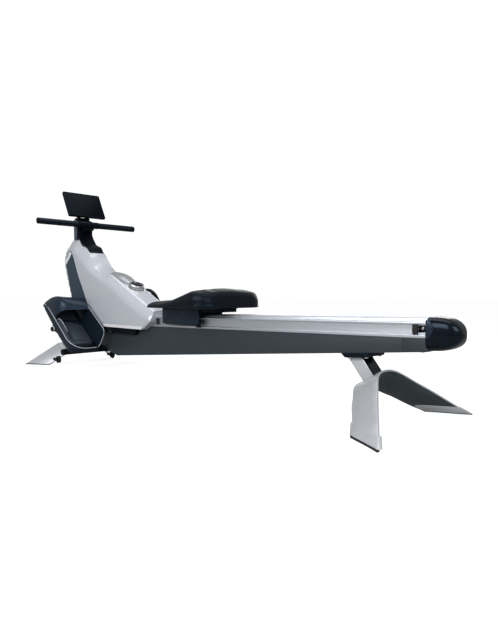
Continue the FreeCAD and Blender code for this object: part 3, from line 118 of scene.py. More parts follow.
class Finish:
    """One material, with its pattern and its shader."""

    def __init__(self, name, fixed):
        self.material = bpy.data.materials.new(name)
        self.material.use_nodes = True
        self.tree = self.material.node_tree
        self.skin = self.tree.nodes["Principled BSDF"]
        for socket, value in fixed.items():
            self.skin.inputs[socket].default_value = value

    def add(self, kind, settings=None, values=None, out=None):
        node = self.tree.nodes.new(kind)
        for name, value in (settings or {}).items():
            if name == "stops":
                ends = node.color_ramp.elements
                while len(ends) < len(value):
                    ends.new(0.5)
                for end, (place, colour) in zip(ends, value):
                    end.position = place
                    end.color = colour
            else:
                setattr(node, name, value)
        for name, value in (values or {}).items():
            self.feed(self.pick(node.inputs, name), value)
        return Wire(self, self.pick(node.outputs, out or 0))

    def pick(self, sockets, name):
        """A socket by its place or its name, of those that the node's settings leave open."""
        if isinstance(name, int):
            return sockets[name]
        return [s for s in sockets if s.name == name and s.enabled][0]

    def feed(self, socket, value):
        if isinstance(value, Wire):
            self.tree.links.new(value.socket, socket)
        else:
            socket.default_value = value

    def show(self, name, value):
        """Sends a value to one of the shader's own sockets."""
        self.feed(self.skin.inputs[name], value)

    def place(self):
        return self.add("ShaderNodeTexCoord", out="Object")

    def noise(self, place, scale, detail=2.0):
        return self.add("ShaderNodeTexNoise", None, {"Vector": place, "Scale": scale, "Detail": detail})

    def stretched(self, place, scale):
        """The same place, drawn out by a scale for each axis."""
        return self.add("ShaderNodeMapping", None, {"Vector": place, "Scale": scale})

    def axis(self, place, name):
        return self.add("ShaderNodeSeparateXYZ", None, {"Vector": place}, out=name)

    def mix(self, factor, first, second):
        return self.add("ShaderNodeMix", {"data_type": "RGBA"},
                        {"Factor": factor, "A": first, "B": second}, "Result")

    def bump(self, height, distance, strength=1.0):
        normal = self.add("ShaderNodeBump", None,
                          {"Strength": strength, "Distance": distance, "Height": height})
        self.show("Normal", normal)


def tint(colour, gain=1.0):
    return (colour[0] * gain, colour[1] * gain, colour[2] * gain, 1.0)


# %% [markdown]
# ## Moulded and sprayed skins
# Most of the machine is either moulded plastic or sprayed steel. Both show the same three things
# up close: a tone that drifts a few percent over a hand's width, a gloss that is never quite even,
# and a fine grain. One recipe covers them, and each finish turns those three up or down.

# %% The recipe for a moulded or sprayed skin


def skin(name, colour, rough, metal=0.0, coat=0.0, grain=1400.0, depth=0.00002, drift=0.1, coat_rough=0.1,
         shine=0.5, glint=(1.0, 1.0, 1.0)):
    fixed = {"Metallic": metal, "Coat Weight": coat, "Coat Roughness": coat_rough,
             "Specular IOR Level": shine,
             "Specular Tint": tint(glint)}
    finish = Finish(name, fixed)
    place = finish.place()
    broad = finish.noise(place, 7.0, 3.0)
    fine = finish.noise(place, grain, 2.0)
    finish.show("Base Color", finish.mix(broad, tint(colour, 1 - drift), tint(colour, 1 + drift)))
    finish.show("Roughness", rough - 0.05 + 0.06 * broad + 0.04 * fine)
    finish.bump(fine, depth)
    return finish


def brushed(name, colour, rough, lines=(6.0, 900.0, 900.0), depth=0.00001):
    """Metal with fine lines along X, as a drawn or brushed bar has."""
    finish = Finish(name, {"Metallic": 1.0, "Anisotropic": 0.35})
    place = finish.place()
    streak = finish.noise(finish.stretched(place, lines), 1.0, 3.0)
    broad = finish.noise(place, 5.0, 2.0)
    finish.show("Base Color", finish.mix(streak, tint(colour, 0.9), tint(colour, 1.08)))
    finish.show("Roughness", rough - 0.06 + 0.1 * streak + 0.05 * broad)
    finish.bump(streak, depth)
    return finish


COOL = (0.50, 0.70, 1.0)
pearl = skin("pearl shell", (0.60, 0.63, 0.69), 0.34, metal=0.25, coat=0.15, depth=0.000006, drift=0.02)
white_trim = skin("white trim", (0.78, 0.79, 0.82), 0.35, coat=0.3, depth=0.000006, drift=0.02)
petrol = skin("petrol panel", (0.022, 0.052, 0.085), 0.34, metal=0.4, coat=0.15, depth=0.000008)
slate_cap = skin("slate metallic", (0.10, 0.135, 0.17), 0.34, metal=0.6, coat=0.25, depth=0.000008)
beam_paint = skin("beam slate", (0.034, 0.047, 0.057), 0.42, metal=0.3, coat=0.0, grain=700, depth=0.00002)
bracket_paint = skin("bracket black", (0.004, 0.006, 0.009), 0.5, shine=0.15, glint=COOL, grain=700,
                     depth=0.00002)
gloss_black = skin("gloss black", (0.0015, 0.0022, 0.0036), 0.22, coat=0.05, shine=0.3, glint=COOL,
                   depth=0.000003)
dark_plastic = skin("dark plastic", (0.0022, 0.0034, 0.0055), 0.46, shine=0.13, glint=COOL, depth=0.00003)
slate_plastic = skin("slate plastic", (0.010, 0.017, 0.028), 0.32, coat=0.08, shine=0.4, glint=COOL,
                     depth=0.00003)
grey_plastic = skin("grey plastic", (0.22, 0.24, 0.26), 0.45, depth=0.00003)
leg_silver = skin("leg silver", (0.56, 0.58, 0.61), 0.38, metal=0.35, coat=0.25, grain=900, depth=0.00001,
                  drift=0.03)
# A darker copy of the leg silver: it paints the shade on the arches' undersides.
leg_painted_shade = skin("leg underside painted shade", (0.075, 0.095, 0.105), 0.4, metal=0.6, grain=900, depth=0.00001)
dome_grey = skin("dome grey", (0.36, 0.38, 0.41), 0.28, metal=0.35, coat=0.5, depth=0.000004, drift=0.03)
rubber = skin("foot rubber", (0.007, 0.007, 0.008), 0.7, grain=500, depth=0.00008)
sole_slate = skin("sole slate", (0.030, 0.042, 0.056), 0.5, depth=0.00003, shine=0.35)
foot_plastic = skin("footrest plastic", (0.006, 0.011, 0.018), 0.36, coat=0.05, shine=0.3, glint=COOL,
                    grain=900, depth=0.00003)
rim_grey = skin("rim grey", (0.42, 0.44, 0.50), 0.32, coat=0.3, depth=0.000006)
glass = skin("screen glass", (0.0012, 0.0020, 0.0036), 0.3, shine=0.08, glint=COOL, depth=0.0,
             coat_rough=0.04)
rail_metal = brushed("rail aluminium", (0.66, 0.70, 0.755), 0.38)
bright_steel = brushed("bright steel", (0.62, 0.63, 0.65), 0.26)
cast_iron = skin("cast iron", (0.12, 0.12, 0.125), 0.5, metal=0.8, grain=300, depth=0.0001)
print(len(bpy.data.materials), "finishes so far")

# %% [markdown]
# ## Leather, webbing and ribs
# The seat is a smooth hide with shallow pebbling that only shows near the light. The strap is a
# flat web: two sets of threads crossing, which two sine waves multiplied give cheaply.

# %% Leather, webbing and ribbed rubber


def leather(name, colour):
    finish = Finish(name, {"Coat Weight": 0.04, "Coat Roughness": 0.3, "Specular IOR Level": 0.22,
                             "Specular Tint": tint(COOL)})
    place = finish.place()
    settings = {"feature": "SMOOTH_F1"}
    pebble = finish.add("ShaderNodeTexVoronoi", settings, {"Vector": place, "Scale": 480.0}, "Distance")
    crease = finish.noise(place, 60.0, 4.0)
    finish.show("Base Color", finish.mix(crease, tint(colour, 0.8), tint(colour, 1.25)))
    finish.show("Roughness", 0.34 + 0.1 * crease + 0.08 * pebble)
    finish.bump(pebble + 0.5 * crease, 0.00006)
    return finish


def webbing(name, colour, pitch):
    finish = Finish(name, {"Roughness": 0.8, "Sheen Weight": 0.3})
    place = finish.place()
    turn = 2 * math.pi / pitch
    waves = []
    for name in ("X", "Y"):
        along = turn * finish.axis(place, name)
        waves.append(finish.add("ShaderNodeMath", {"operation": "SINE"}, {0: along}))
    weave = 0.5 + 0.5 * (waves[0] * waves[1])
    finish.show("Base Color", finish.mix(weave, tint(colour, 0.6), tint(colour, 1.5)))
    finish.show("Roughness", 0.7 + 0.2 * weave)
    finish.bump(weave, 0.0003)
    return finish


seat_leather = leather("seat leather", (0.0018, 0.0028, 0.0046))
strap_web = webbing("strap web", (0.02, 0.02, 0.024), 0.0022)
belt_rubber = webbing("belt rubber", (0.02, 0.02, 0.02), 0.003)
print("soft finishes ready")

# %% [markdown]
# ## The studio
# A pale floor, a white surround and four soft boxes: one overhead that rolls along the rail's
# crown, one on the near side for the shells, and dim ones at the rear and on the far side, so that
# the far edges separate from the floor. The camera stands low near the rail's end, the place that
# shows the whole length.

# %% Floor, lights and camera
scene = bpy.context.scene
scene.view_settings.view_transform = "Standard"
EYE = Vector((1.8449, -1.4341, 0.4113))
LOOK_AZIMUTH = math.radians(45.972)
LOOK_DOWN = math.radians(3.212)
LOOK_ROLL = math.radians(0.281)
LENS_MM = 28.70


def aimed(thing, place, direction, roll=0.0):
    """Puts a light or a camera in place, looking along a direction."""
    thing.matrix_world = direction.to_track_quat("-Z", "Y").to_matrix().to_4x4()
    thing.matrix_world = thing.matrix_world @ thing.matrix_world.Rotation(-roll, 4, "Z")
    thing.location = place


eye = bpy.data.objects.new("studio_camera", bpy.data.cameras.new("studio_camera"))
scene.collection.objects.link(eye)
flat = math.cos(LOOK_DOWN)
ahead = Vector((-math.sin(LOOK_AZIMUTH) * flat, math.cos(LOOK_AZIMUTH) * flat, -math.sin(LOOK_DOWN)))
aimed(eye, EYE, ahead, LOOK_ROLL)
eye.data.lens = LENS_MM
eye.data.sensor_fit = "VERTICAL"
eye.data.sensor_height = 36.0
eye.data.sensor_width = 36.0
scene.camera = eye


def soft_box(name, place, target, size, power):
    lamp = bpy.data.lights.new(name, "AREA")
    lamp.shape = "RECTANGLE"
    lamp.size = size[0]
    lamp.size_y = size[1]
    lamp.energy = power
    box = bpy.data.objects.new(name, lamp)
    scene.collection.objects.link(box)
    aimed(box, Vector(place), Vector(target) - Vector(place))
    return box


soft_box("overhead_box", (0.0, 0.3, 3.2), (0, 0, 0.2), (4.2, 1.6), 36)
soft_box("near_box", (0.6, -3.2, 1.9), (-0.2, 0, 0.3), (3.2, 1.8), 90)
soft_box("rear_box", (3.4, -0.6, 1.4), (0.4, 0, 0.3), (1.6, 1.4), 30)
soft_box("far_box", (-1.5, 3.2, 1.6), (0, 0, 0.3), (3.0, 1.4), 30)

surround = bpy.data.worlds.new("white surround")
surround.use_nodes = True
scene.world = surround
sky = surround.node_tree.nodes["Background"]
rays = surround.node_tree.nodes.new("ShaderNodeLightPath")
levels = surround.node_tree.nodes.new("ShaderNodeMix")
SKY_FILL = 0.34
levels.inputs["A"].default_value = SKY_FILL
levels.inputs["B"].default_value = 1.05
surround.node_tree.links.new(rays.outputs["Is Camera Ray"], levels.inputs["Factor"])
surround.node_tree.links.new(levels.outputs["Result"], sky.inputs["Strength"])
sky.inputs["Color"].default_value = (1.0, 1.0, 1.0, 1.0)

FLOOR_GLOW = 0.85
floor_mesh = bmesh.new()
bmesh.ops.create_grid(floor_mesh, x_segments=1, y_segments=1, size=30.0)
floor_data = bpy.data.meshes.new("studio_floor")
floor_mesh.to_mesh(floor_data)
studio_floor = bpy.data.objects.new("studio_floor", floor_data)
scene.collection.objects.link(studio_floor)
floor_paint = skin("floor paint", (0.4, 0.4, 0.4), 0.9, depth=0.0, drift=0.0, shine=0.0)
seen = floor_paint.add("ShaderNodeLightPath", out="Is Camera Ray")
floor_paint.show("Emission Color", floor_paint.mix(seen, tint((0, 0, 0)), tint((1, 1, 1))))
floor_paint.show("Emission Strength", FLOOR_GLOW)
studio_floor.data.materials.append(floor_paint.material)
studio_floor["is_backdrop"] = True
print("camera", [round(value, 3) for value in EYE])

# %% [markdown]
# ## The workshop's own tools
# A few small tools make nearly every piece. One draws a closed outline whose corners are rounded
# by arcs. One turns a bmesh into a finished piece: normals out, smooth but with its sharp edges
# kept, its finish on, and its body named. One slices a surface into squares so that a formula can
# bend it, and one takes a solid that is already right and rounds its edges. The last ones stretch
# a skin over rings and lay a cord along a path.

# %% Outlines and finished pieces
ROUND_STEPS = 7


def outline(corners, steps=ROUND_STEPS):
    """Points of a closed outline through (u, v, radius) corners in millimetres, given back in metres."""
    points = []
    for i, (u, v, radius) in enumerate(corners):
        here = Vector((u, v))
        back = Vector(corners[i - 1][:2]) - here
        after = Vector(corners[(i + 1) % len(corners)][:2]) - here
        back.normalize()
        after.normalize()
        half = back.angle(after) / 2
        if radius <= 0 or half > math.radians(88):
            points.append(here * MM)
            continue
        reach = radius / math.tan(half)
        centre = here + (back + after).normalized() * (radius / math.sin(half))
        first = here + back * reach - centre
        last = here + after * reach - centre
        turn = first.angle_signed(last)
        for step in range(steps + 1):
            angle = -turn * step / steps
            cosine, sine = math.cos(angle), math.sin(angle)
            arm = Vector((first.x * cosine - first.y * sine, first.x * sine + first.y * cosine))
            points.append((centre + arm) * MM)
    return points


def lay(bm, points, plane="xz", level=0.0):
    """One face through the points, in a plane at a level."""
    makers = {"xz": lambda p: (p[0], level, p[1]), "xy": lambda p: (p[0], p[1], level),
              "yz": lambda p: (level, p[0], p[1])}
    return bm.faces.new([bm.verts.new(makers[plane](p)) for p in points])


def pull(bm, geometry, move):
    """Extrudes faces, and moves what was made."""
    made = bmesh.ops.extrude_face_region(bm, geom=geometry)["geom"]
    verts = [v for v in made if isinstance(v, bmesh.types.BMVert)]
    bmesh.ops.translate(bm, verts=verts, vec=move)
    return [f for f in made if isinstance(f, bmesh.types.BMFace)]


def soften(bm, width, segments=3, angle=35.0):
    """Rounds every edge that turns by more than an angle."""
    sharp = [e for e in bm.edges if len(e.link_faces) == 2 and e.calc_face_angle(0) > math.radians(angle)]
    bmesh.ops.bevel(bm, geom=sharp, offset=width, offset_type="OFFSET", affect="EDGES", segments=segments,
                    profile=0.5, material=-1, clamp_overlap=True)


def finished(name, bm, finish, body, stands_for=(), sharp=40.0, closed=True):
    """Makes the bmesh a piece of the machine."""
    bmesh.ops.remove_doubles(bm, verts=bm.verts, dist=0.00001)
    if closed:
        bmesh.ops.recalc_face_normals(bm, faces=bm.faces)
    data = bpy.data.meshes.new(name)
    bm.to_mesh(data)
    bm.free()
    for each in finish if isinstance(finish, (list, tuple)) else [finish]:
        data.materials.append(each.material)
    data.shade_smooth()
    data.set_sharp_from_angle(angle=math.radians(sharp))
    piece = bpy.data.objects.new(name, data)
    scene.collection.objects.link(piece)
    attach(piece, body)
    if stands_for:
        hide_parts(*stands_for)
    return piece


def block(bm, corners, low, high, plane="xz"):
    """A straight block: an outline pulled from one level to another, all in millimetres."""
    move = {"xz": (0, 1, 0), "xy": (0, 0, 1), "yz": (1, 0, 0)}[plane]
    face = lay(bm, outline(corners), plane, low * MM)
    pull(bm, [face], Vector(move) * (high - low) * MM)


def mirrored(bm):
    """A copy on the machine's other side."""
    other = bm.copy()
    bmesh.ops.transform(other, matrix=Matrix.Scale(-1, 4, (0, 1, 0)), verts=other.verts)
    bmesh.ops.reverse_faces(other, faces=other.faces)
    return other


def poured(bm, source):
    """Adds one bmesh's geometry to another."""
    data = bpy.data.meshes.new("poured")
    source.to_mesh(data)
    source.free()
    bm.from_mesh(data)
    bpy.data.meshes.remove(data)


# %% Rounding a solid that is already right


def solid_copy(node):
    """A solid's mesh with its loose triangles merged into whole faces."""
    bm = bmesh.new()
    bm.from_mesh(frame["nodes"][node].data)
    bmesh.ops.remove_doubles(bm, verts=bm.verts, dist=0.00002)
    bmesh.ops.dissolve_limit(bm, angle_limit=math.radians(1.0), verts=bm.verts, edges=bm.edges)
    return bm


def eased(node, finish, width, name=None, segments=3, angle=32.0):
    """A copy of a solid with its edges eased, standing for it."""
    bm = solid_copy(node)
    soften(bm, width * MM, segments, angle)
    return finished(name or node + "_skin", bm, finish, body_of[node], (node,))


# %% Slicing a surface and bending it


def slice_up(bm, step, axes="xz", only=None):
    """Cuts the faces by evenly spaced planes."""
    for name in axes:
        index = "xyz".index(name)
        low = min(v.co[index] for v in bm.verts)
        high = max(v.co[index] for v in bm.verts)
        normal = Vector((0, 0, 0))
        normal[index] = 1
        for count in range(1, int((high - low) / step) + 1):
            spot = normal * (low + count * step)
            faces = [f for f in bm.faces if only is None or f.material_index == only]
            edges = list({e for f in faces for e in f.edges})
            verts = list({v for f in faces for v in f.verts})
            bmesh.ops.bisect_plane(bm, geom=verts + edges + faces, dist=1e-6, plane_co=spot, plane_no=normal)


def smooth_line(points):
    """A function that runs smoothly through (x, y) points, in metres from millimetres."""
    points = sorted((x * MM, y * MM) for x, y in points)
    count = len(points)
    slopes = []
    for i in range(count):
        before = points[max(i - 1, 0)]
        after = points[min(i + 1, count - 1)]
        slopes.append((after[1] - before[1]) / (after[0] - before[0]))

    def height(x):
        if x <= points[0][0]:
            return points[0][1]
        if x >= points[-1][0]:
            return points[-1][1]
        i = max(k for k in range(count - 1) if points[k][0] <= x)
        x0, y0 = points[i]
        x1, y1 = points[i + 1]
        run = x1 - x0
        t = (x - x0) / run
        ease = t * t * (3 - 2 * t)
        bend = run * (slopes[i] * t * (1 - t) ** 2 - slopes[i + 1] * t * t * (1 - t))
        return y0 + (y1 - y0) * ease + bend

    return height


def ramp(value, start, end):
    """0 before start, 1 after end, and a smooth climb between."""
    t = min(max((value - start) / (end - start), 0.0), 1.0)
    return t * t * (3 - 2 * t)


def edge_distance(point, points):
    """How far a point lies from a closed outline."""
    best = 1e9
    for i, a in enumerate(points):
        b = points[(i + 1) % len(points)]
        run = b - a
        along = max(0.0, min(1.0, (point - a).dot(run) / max(run.length_squared, 1e-12)))
        best = min(best, (a + run * along - point).length)
    return best


def pillow(corners, fillet, step, level, plane="xz", rings=4):
    """A sheet over an outline with a rounded border. level(u, v) gives its height off the plane."""
    bm = bmesh.new()
    border = outline(corners)
    lay(bm, border, plane)
    previous = 0.0
    for ring in range(1, rings + 1):
        reach = fillet * MM * (1 - math.cos(math.pi / 2 * ring / rings))
        inner = [f for f in bm.faces if f.material_index == 0]
        made = bmesh.ops.inset_region(bm, faces=inner, thickness=reach - previous, use_even_offset=True)
        for face in made["faces"]:
            face.material_index = 1
        previous = reach
    slice_up(bm, step * MM, plane, only=0)
    u, v = "xyz".index(plane[0]), "xyz".index(plane[1])
    out = 3 - u - v
    size = fillet * MM
    for vert in bm.verts:
        spot = Vector((vert.co[u], vert.co[v]))
        inside = min(edge_distance(spot, border), size)
        drop = size - math.sqrt(max(size * size - (size - inside) ** 2, 0.0))
        vert.co[out] = level(spot.x, spot.y, drop)
    for face in bm.faces:
        face.material_index = 0
    return bm


def wall_in(bm, move):
    """Pulls the open border of a sheet along, to give it a wall."""
    border = [e for e in bm.edges if e.is_boundary]
    made = bmesh.ops.extrude_edge_only(bm, edges=border)["geom"]
    verts = [v for v in made if isinstance(v, bmesh.types.BMVert)]
    for vert in verts:
        vert.co = move(vert.co)


print("tools ready")


# %% Skins stretched over rings


def loft(bm, rings, closed=True):
    """Faces between closed rings of points, with both ends filled. Each ring has the same count."""
    made = [[bm.verts.new(point) for point in ring] for ring in rings]
    count = len(made[0])
    for first, second in zip(made, made[1:]):
        for i in range(count):
            after = (i + 1) % count
            bm.faces.new((first[i], first[after], second[after], second[i]))
    if closed:
        bm.faces.new(made[0][::-1])
        bm.faces.new(made[-1])


def oval(half_wide, half_high, power, count=40):
    """Points of a squared oval, from -1 to 1 in each direction, scaled."""
    points = []
    for i in range(count):
        angle = 2 * math.pi * i / count
        cosine, sine = math.cos(angle), math.sin(angle)
        across = math.copysign(abs(cosine) ** (2 / power), cosine)
        up = math.copysign(abs(sine) ** (2 / power), sine)
        points.append((half_wide * across, half_high * up))
    return points


def cord_along(bm, path, radius, count=10):
    """A round cord through the points of a path."""
    rings = []
    for i, spot in enumerate(path):
        run = path[min(i + 1, len(path) - 1)] - path[max(i - 1, 0)]
        turn = run.to_track_quat("Z", "Y").to_matrix()
        ring = []
        for step in range(count):
            angle = 2 * math.pi * step / count
            ring.append(spot + turn @ Vector((radius * math.cos(angle), radius * math.sin(angle), 0)))
        rings.append(ring)
    loft(bm, rings)


def two_tone(bm, test):
    """Gives the second finish to the faces that pass a test."""
    for face in bm.faces:
        face.normal_update()
        if test(face):
            face.material_index = 1

# %% [markdown]
# ## Rail, beam and the hidden drive
# The rail is an extrusion, so its solid already has the right section, and only its edges need
# easing. The beam is folded plate with a soft lower edge. The drive sits behind the shells, where
# only a moving pose or a look through the grille shows it: its solids stay as they are and just
# get their metals.

# %% Rail and beam
eased("seat_rail", rail_metal, 0.6, "rail_extrusion")
eased("main_beam", beam_paint, 5.0, "beam_tube", segments=4)
eased("beam_rear_plug", beam_paint, 2.5, "beam_plug", segments=3)
eased("rear_leg_bracket", bracket_paint, 1.5, "rear_bracket")
eased("front_leg_bracket", bracket_paint, 1.5, "front_bracket")
eased("rail_side_plates", grey_plastic, 0.8, "channel_plates")
eased("rail_stops", rubber, 1.0, "stop_blocks")
eased("foot_pads", rubber, 0.8, "pad_strips")
eased("frame_bolts", bright_steel, 0.4, "bolt_heads")
print("rail and beam done")

# %% Metals for the solids that stay
kept = {
    "drive_frame": bright_steel, "drive_axles": bright_steel, "flywheel": cast_iron,
    "strap_spool": grey_plastic,
    "drive_belt": belt_rubber, "magnet_arm": cast_iron, "strap_roller": grey_plastic,
    "mast_post": bracket_paint,
    "roller_pins": bright_steel, "console_pin": bright_steel,
}


def dress(node, finish):
    """Gives a solid that stays a better finish."""
    slots = frame["nodes"][node].data.materials
    for index in range(len(slots)):
        slots[index] = finish.material
    if len(slots) == 0:
        slots.append(finish.material)


for node, finish in kept.items():
    dress(node, finish)
print(len(kept), "solids kept")
# %% [markdown]
# ## The housing
# The shell is one flowing body: flat flanks, a bright chamfer above a crease, and a crest that
# carries the spine. It could be carved from a block, but the crease runs in a soft curve over a
# metre, so we draw the side view once, fill it with a fine net and push each point out by a formula:
# full width below the crease, sloping in to the crest above it. The same net makes both halves.

# %% The two shells
FLANK = 80 * MM
crease = smooth_line([(-1150, 640), (-1090, 668), (-1020, 672), (-960, 622), (-863, 559), (-715, 490),
                      (-563, 428),
                      (-469, 379), (-378, 335), (-335, 317), (-292, 300), (-238, 290)])
crest = smooth_line([(-1150, 700), (-1093, 728), (-1016, 728), (-985, 694), (-935, 676), (-880, 622),
                     (-810, 552),
                     (-715, 512), (-647, 509), (-497, 440), (-427, 408), (-340, 368), (-237, 322)])
crest_half = smooth_line([(-1150, 46), (-1020, 46), (-760, 60), (-230, 60)])
front_line = smooth_line([(230, -1000), (387, -1064), (490, -1101), (573, -1135), (610, -1148), (646, -1136),
                          (681, -1104), (728, -1093)])
side_view = [
    (-314, 236, 10), (-237, 279, 10), (-237, 322, 12), (-340, 368, 200), (-647, 509, 60), (-715, 512, 60),
    (-810, 552, 90), (-885, 640, 60), (-925, 672, 30), (-985, 692, 30), (-1016, 728, 8), (-1093, 728, 8),
    (-1104, 681, 30), (-1148, 610, 45), (-1101, 490, 300), (-1000, 236, 20),
]
side_view = side_view[::-1]


def flank(x, z):
    """Half the housing's width at a place in its side view."""
    low, top = crease(x), crest(x)
    climb = min(max((z - low) / max(top - low, 0.012), 0.0), 1.0)
    wide = FLANK + (crest_half(x) - FLANK) * climb
    nose = 1 - ramp(x - front_line(z), 0.0, 0.05)
    return wide + 0.0045 * nose * nose


def shell_net():
    bm = pillow(side_view, 7, 14, lambda x, z, drop: flank(x, z) - drop)
    wall_in(bm, lambda co: Vector((co.x, 0.0005, co.z)))
    bmesh.ops.recalc_face_normals(bm, faces=bm.faces)
    return bm


right_net = shell_net()
left_net = mirrored(right_net)
for side, bm in (("left", left_net), ("right", right_net)):
    finished("shell_" + side, bm, pearl, "frame", ("housing_shell_" + side,), sharp=30)

# %% [markdown]
# The petrol panel, the light stripe across it and the pale strip along the bottom are thin skins
# over the flank. They use the same formula, so they hug it, and stand a millimetre or two proud.

# %% Panels, stripe and skirt
panel_view = [
    (-992, 240, 12), (-1084, 488, 300), (-1124, 602, 40), (-1112, 636, 40), (-1080, 664, 30),
    (-1047, 662, 10),
    (-1017, 613, 300), (-970, 519, 300), (-915, 440, 300), (-866, 363, 200), (-845, 320, 60), (-792, 283, 90),
    (-723, 249, 60), (-690, 240, 4),
]
stripe_view = [(-1122, 590, 2), (-1110, 590, 2), (-1042, 646, 2), (-1052, 658, 2), (-1074, 658, 2),
               (-1124, 610, 2)]
skirt_view = [(-676, 237, 2), (-690, 251, 3), (-296, 251, 3), (-312, 237, 2)]
side_skins = [
    ("stripe", stripe_view, 0.8, 2.4, white_trim, None),
    ("panel", panel_view, 1.5, 1.6, petrol, "side_panel_"), ("skirt", skirt_view, 1.5, 3.0, white_trim, None),
]
for name, view, fillet, proud, finish, stands in side_skins:
    for side in ("left", "right"):
        bm = pillow(view, fillet, 14, lambda x, z, drop: flank(x, z) + proud * MM - drop, rings=3)
        wall_in(bm, lambda co: Vector((co.x, co.y - 0.005, co.z)))
        if side == "left":
            bm = mirrored(bm)
        nodes = (stands + side,) if stands else ()
        finished(name + "_" + side, bm, finish, "frame", nodes,
                 sharp=35)

# %% [markdown]
# The spine lies between the crests as one long strip with a slight crown. It is a stack of
# cross-sections along the crest line, each with rounded shoulders.

# %% Spine
spine = bmesh.new()
rings = []
stations = 110
for i in range(stations + 1):
    x = (-1014 + (777 * i / stations)) * MM
    half = crest_half(x) - 0.002
    lift = ramp(x, -0.93, -0.86)
    top = crest(x) + 0.001 + 0.003 * lift
    ring = [Vector((x, -half, crest(x) - 0.012))]
    for step in range(17):
        across = -1 + step / 8
        crown = 0.0045 * lift * (1 - across * across)
        edge = 0.005 * max(0.0, (abs(across) - 0.86) / 0.14) ** 2
        ring.append(Vector((x, across * half, top + crown - edge)))
    ring.append(Vector((x, half, crest(x) - 0.012)))
    rings.append(ring)
loft(spine, rings)
finished("spine_skin", spine, pearl, "frame", ("spine_cover",), sharp=35)

# %% [markdown]
# Below the shells the real machine shows only shade. A shallow dark pan paints that shade and closes the gap.

# %% Belly pan, a dark sheet that paints the shade under the shells
pan = bmesh.new()
# A dark sheet where there is only shade: painted shade under the shells.
block(pan, [(-985, 206, 4), (-400, 206, 4), (-380, 236, 4), (-995, 236, 4)], -62, 62)
finished("painted_shade_pan", pan, dark_plastic, "frame")
print("spine and pan ready")

# %% [markdown]
# ## Legs, post and end cap
# The arches are sprayed silver, with the shade below them painted dark. The solid already has the right
# bends, so it keeps its shape: its edges are eased, and every face that looks down takes that painted shade.

# %% Arches, post and cap
for node in ("rear_leg_arch", "front_leg_arch"):
    arch = solid_copy(node)
    soften(arch, 1.2 * MM, 2, 40)
    # Faces that look down take the painted shade finish.
    two_tone(arch, lambda face: face.normal.z < -0.25)
    finished(node + "_skin", arch, [leg_silver, leg_painted_shade], "frame", (node,), sharp=32)

# %% [markdown]
# Above each pad of the rear leg sits a slightly flared shoe. The plate runs between two bent edges,
# so the shoe is a short sleeve between the same two edges, two millimetres bigger at the floor.

# %% Shoes and post
FRONT_EDGE = (878.0, 112.0, 0.56, 28.0, 23.0, 1.17)
REAR_EDGE = (980.0, 169.0, 0.693, 50.0, 24.0, 0.95)
SHOE_DEPTH = 9.5


def edge_at(edge, level):
    """Where one edge of the rear arch comes down to a level."""
    x, z, slope, start, softness, lean = edge
    drop = z - level
    reach = 2 * drop / slope
    return Vector((x + lean * drop, start + (reach * reach - softness * softness) / (2 * reach)))


def shoe_ring(level, grow):
    """The plate's section at a level, grown all round."""
    front = edge_at(FRONT_EDGE, level)
    rear = edge_at(REAR_EDGE, level)
    along = (rear - front).normalized()
    inward = Vector((along.y, -along.x))
    corners = [front - (along + inward) * grow, rear + (along - inward) * grow,
               rear + along * grow + inward * (SHOE_DEPTH + grow),
               front - along * grow + inward * (SHOE_DEPTH + grow)]
    return [Vector((c.x, c.y, level)) * MM for c in corners]


shoes = bmesh.new()
loft(shoes, [shoe_ring(5, 2.4), shoe_ring(12, 2.2), shoe_ring(27, 1.6), shoe_ring(29, 0.4)])
poured(shoes, mirrored(shoes))
bmesh.ops.recalc_face_normals(shoes, faces=shoes.faces)
soften(shoes, 1.0 * MM, 2, 50)
finished("rear_shoes", shoes, leg_silver, "frame", sharp=32)

post = solid_copy("rear_leg_post")
soften(post, 0.8 * MM, 2, 50)
two_tone(post, lambda face: face.normal.x > 0.4)
finished("rear_leg_post_skin", post, [leg_silver, gloss_black], "frame", ("rear_leg_post",), sharp=32)

cap = bmesh.new()
rings = []
start, tip = 1140.5, 1234.0
for i in range(25):
    along = math.sin(math.pi / 2 * i / 24)
    x = start + (tip - start) * along
    shrink = max(1 - along ** 3.2, 0.0) ** 0.5
    shrink = max(shrink, 0.03)
    top = 287 + 54 * shrink
    bottom = 287 - (47 - 4 * along) * shrink
    middle = (top + bottom) / 2
    points = oval(50.5 * shrink ** 0.8, (top - bottom) / 2, 3.6)
    rings.append([Vector((x, y, middle + z)) * MM for y, z in points])
loft(cap, rings)
finished("end_cap_skin", cap, gloss_black, "frame", ("rail_end_cap",), sharp=50)

cheeks = bmesh.new()
for side in (-1, 1):
    low, high = sorted((side * 49.0, side * 52.0))
    cheek = [(1141, 333, 2), (1141, 278, 2), (1152, 280, 14), (1167, 305, 24), (1154, 331, 14)]
    block(cheeks, cheek, low, high)
soften(cheeks, 1.0 * MM, 2, 50)
finished("cap_cheeks", cheeks, slate_plastic, "frame", sharp=35)
for side in ("left", "right"):
    eased("transport_wheel_" + side, rubber, 1.5)
print("legs and cap ready")

# %% [markdown]
# ## Mast, console and handle
# The mast's front cap and black inlay, the neck and the tablet keep their solids and get crisp eased
# edges. The glass sits a little below a raised bezel. The handle is a straight gloss black bar:
# each grip is one turned profile with fine rings, which is how a moulded rubber grip is ribbed.

# %% Mast, console
eased("mast_cap", slate_cap, 3)
inlay = solid_copy("mast_inlay")
soften(inlay, 5 * MM, 3, 32)
two_tone(inlay, lambda face: -0.9 < face.normal.y < -0.3)
finished("mast_inlay_skin", inlay, [dark_plastic, slate_cap], "frame", ("mast_inlay",), sharp=32)
eased("handle_cradle", dark_plastic, 2)
eased("console_neck", dark_plastic, 2.5)
eased("console_housing", dark_plastic, 2.0, segments=4)
eased("console_screen", glass, 0.4)


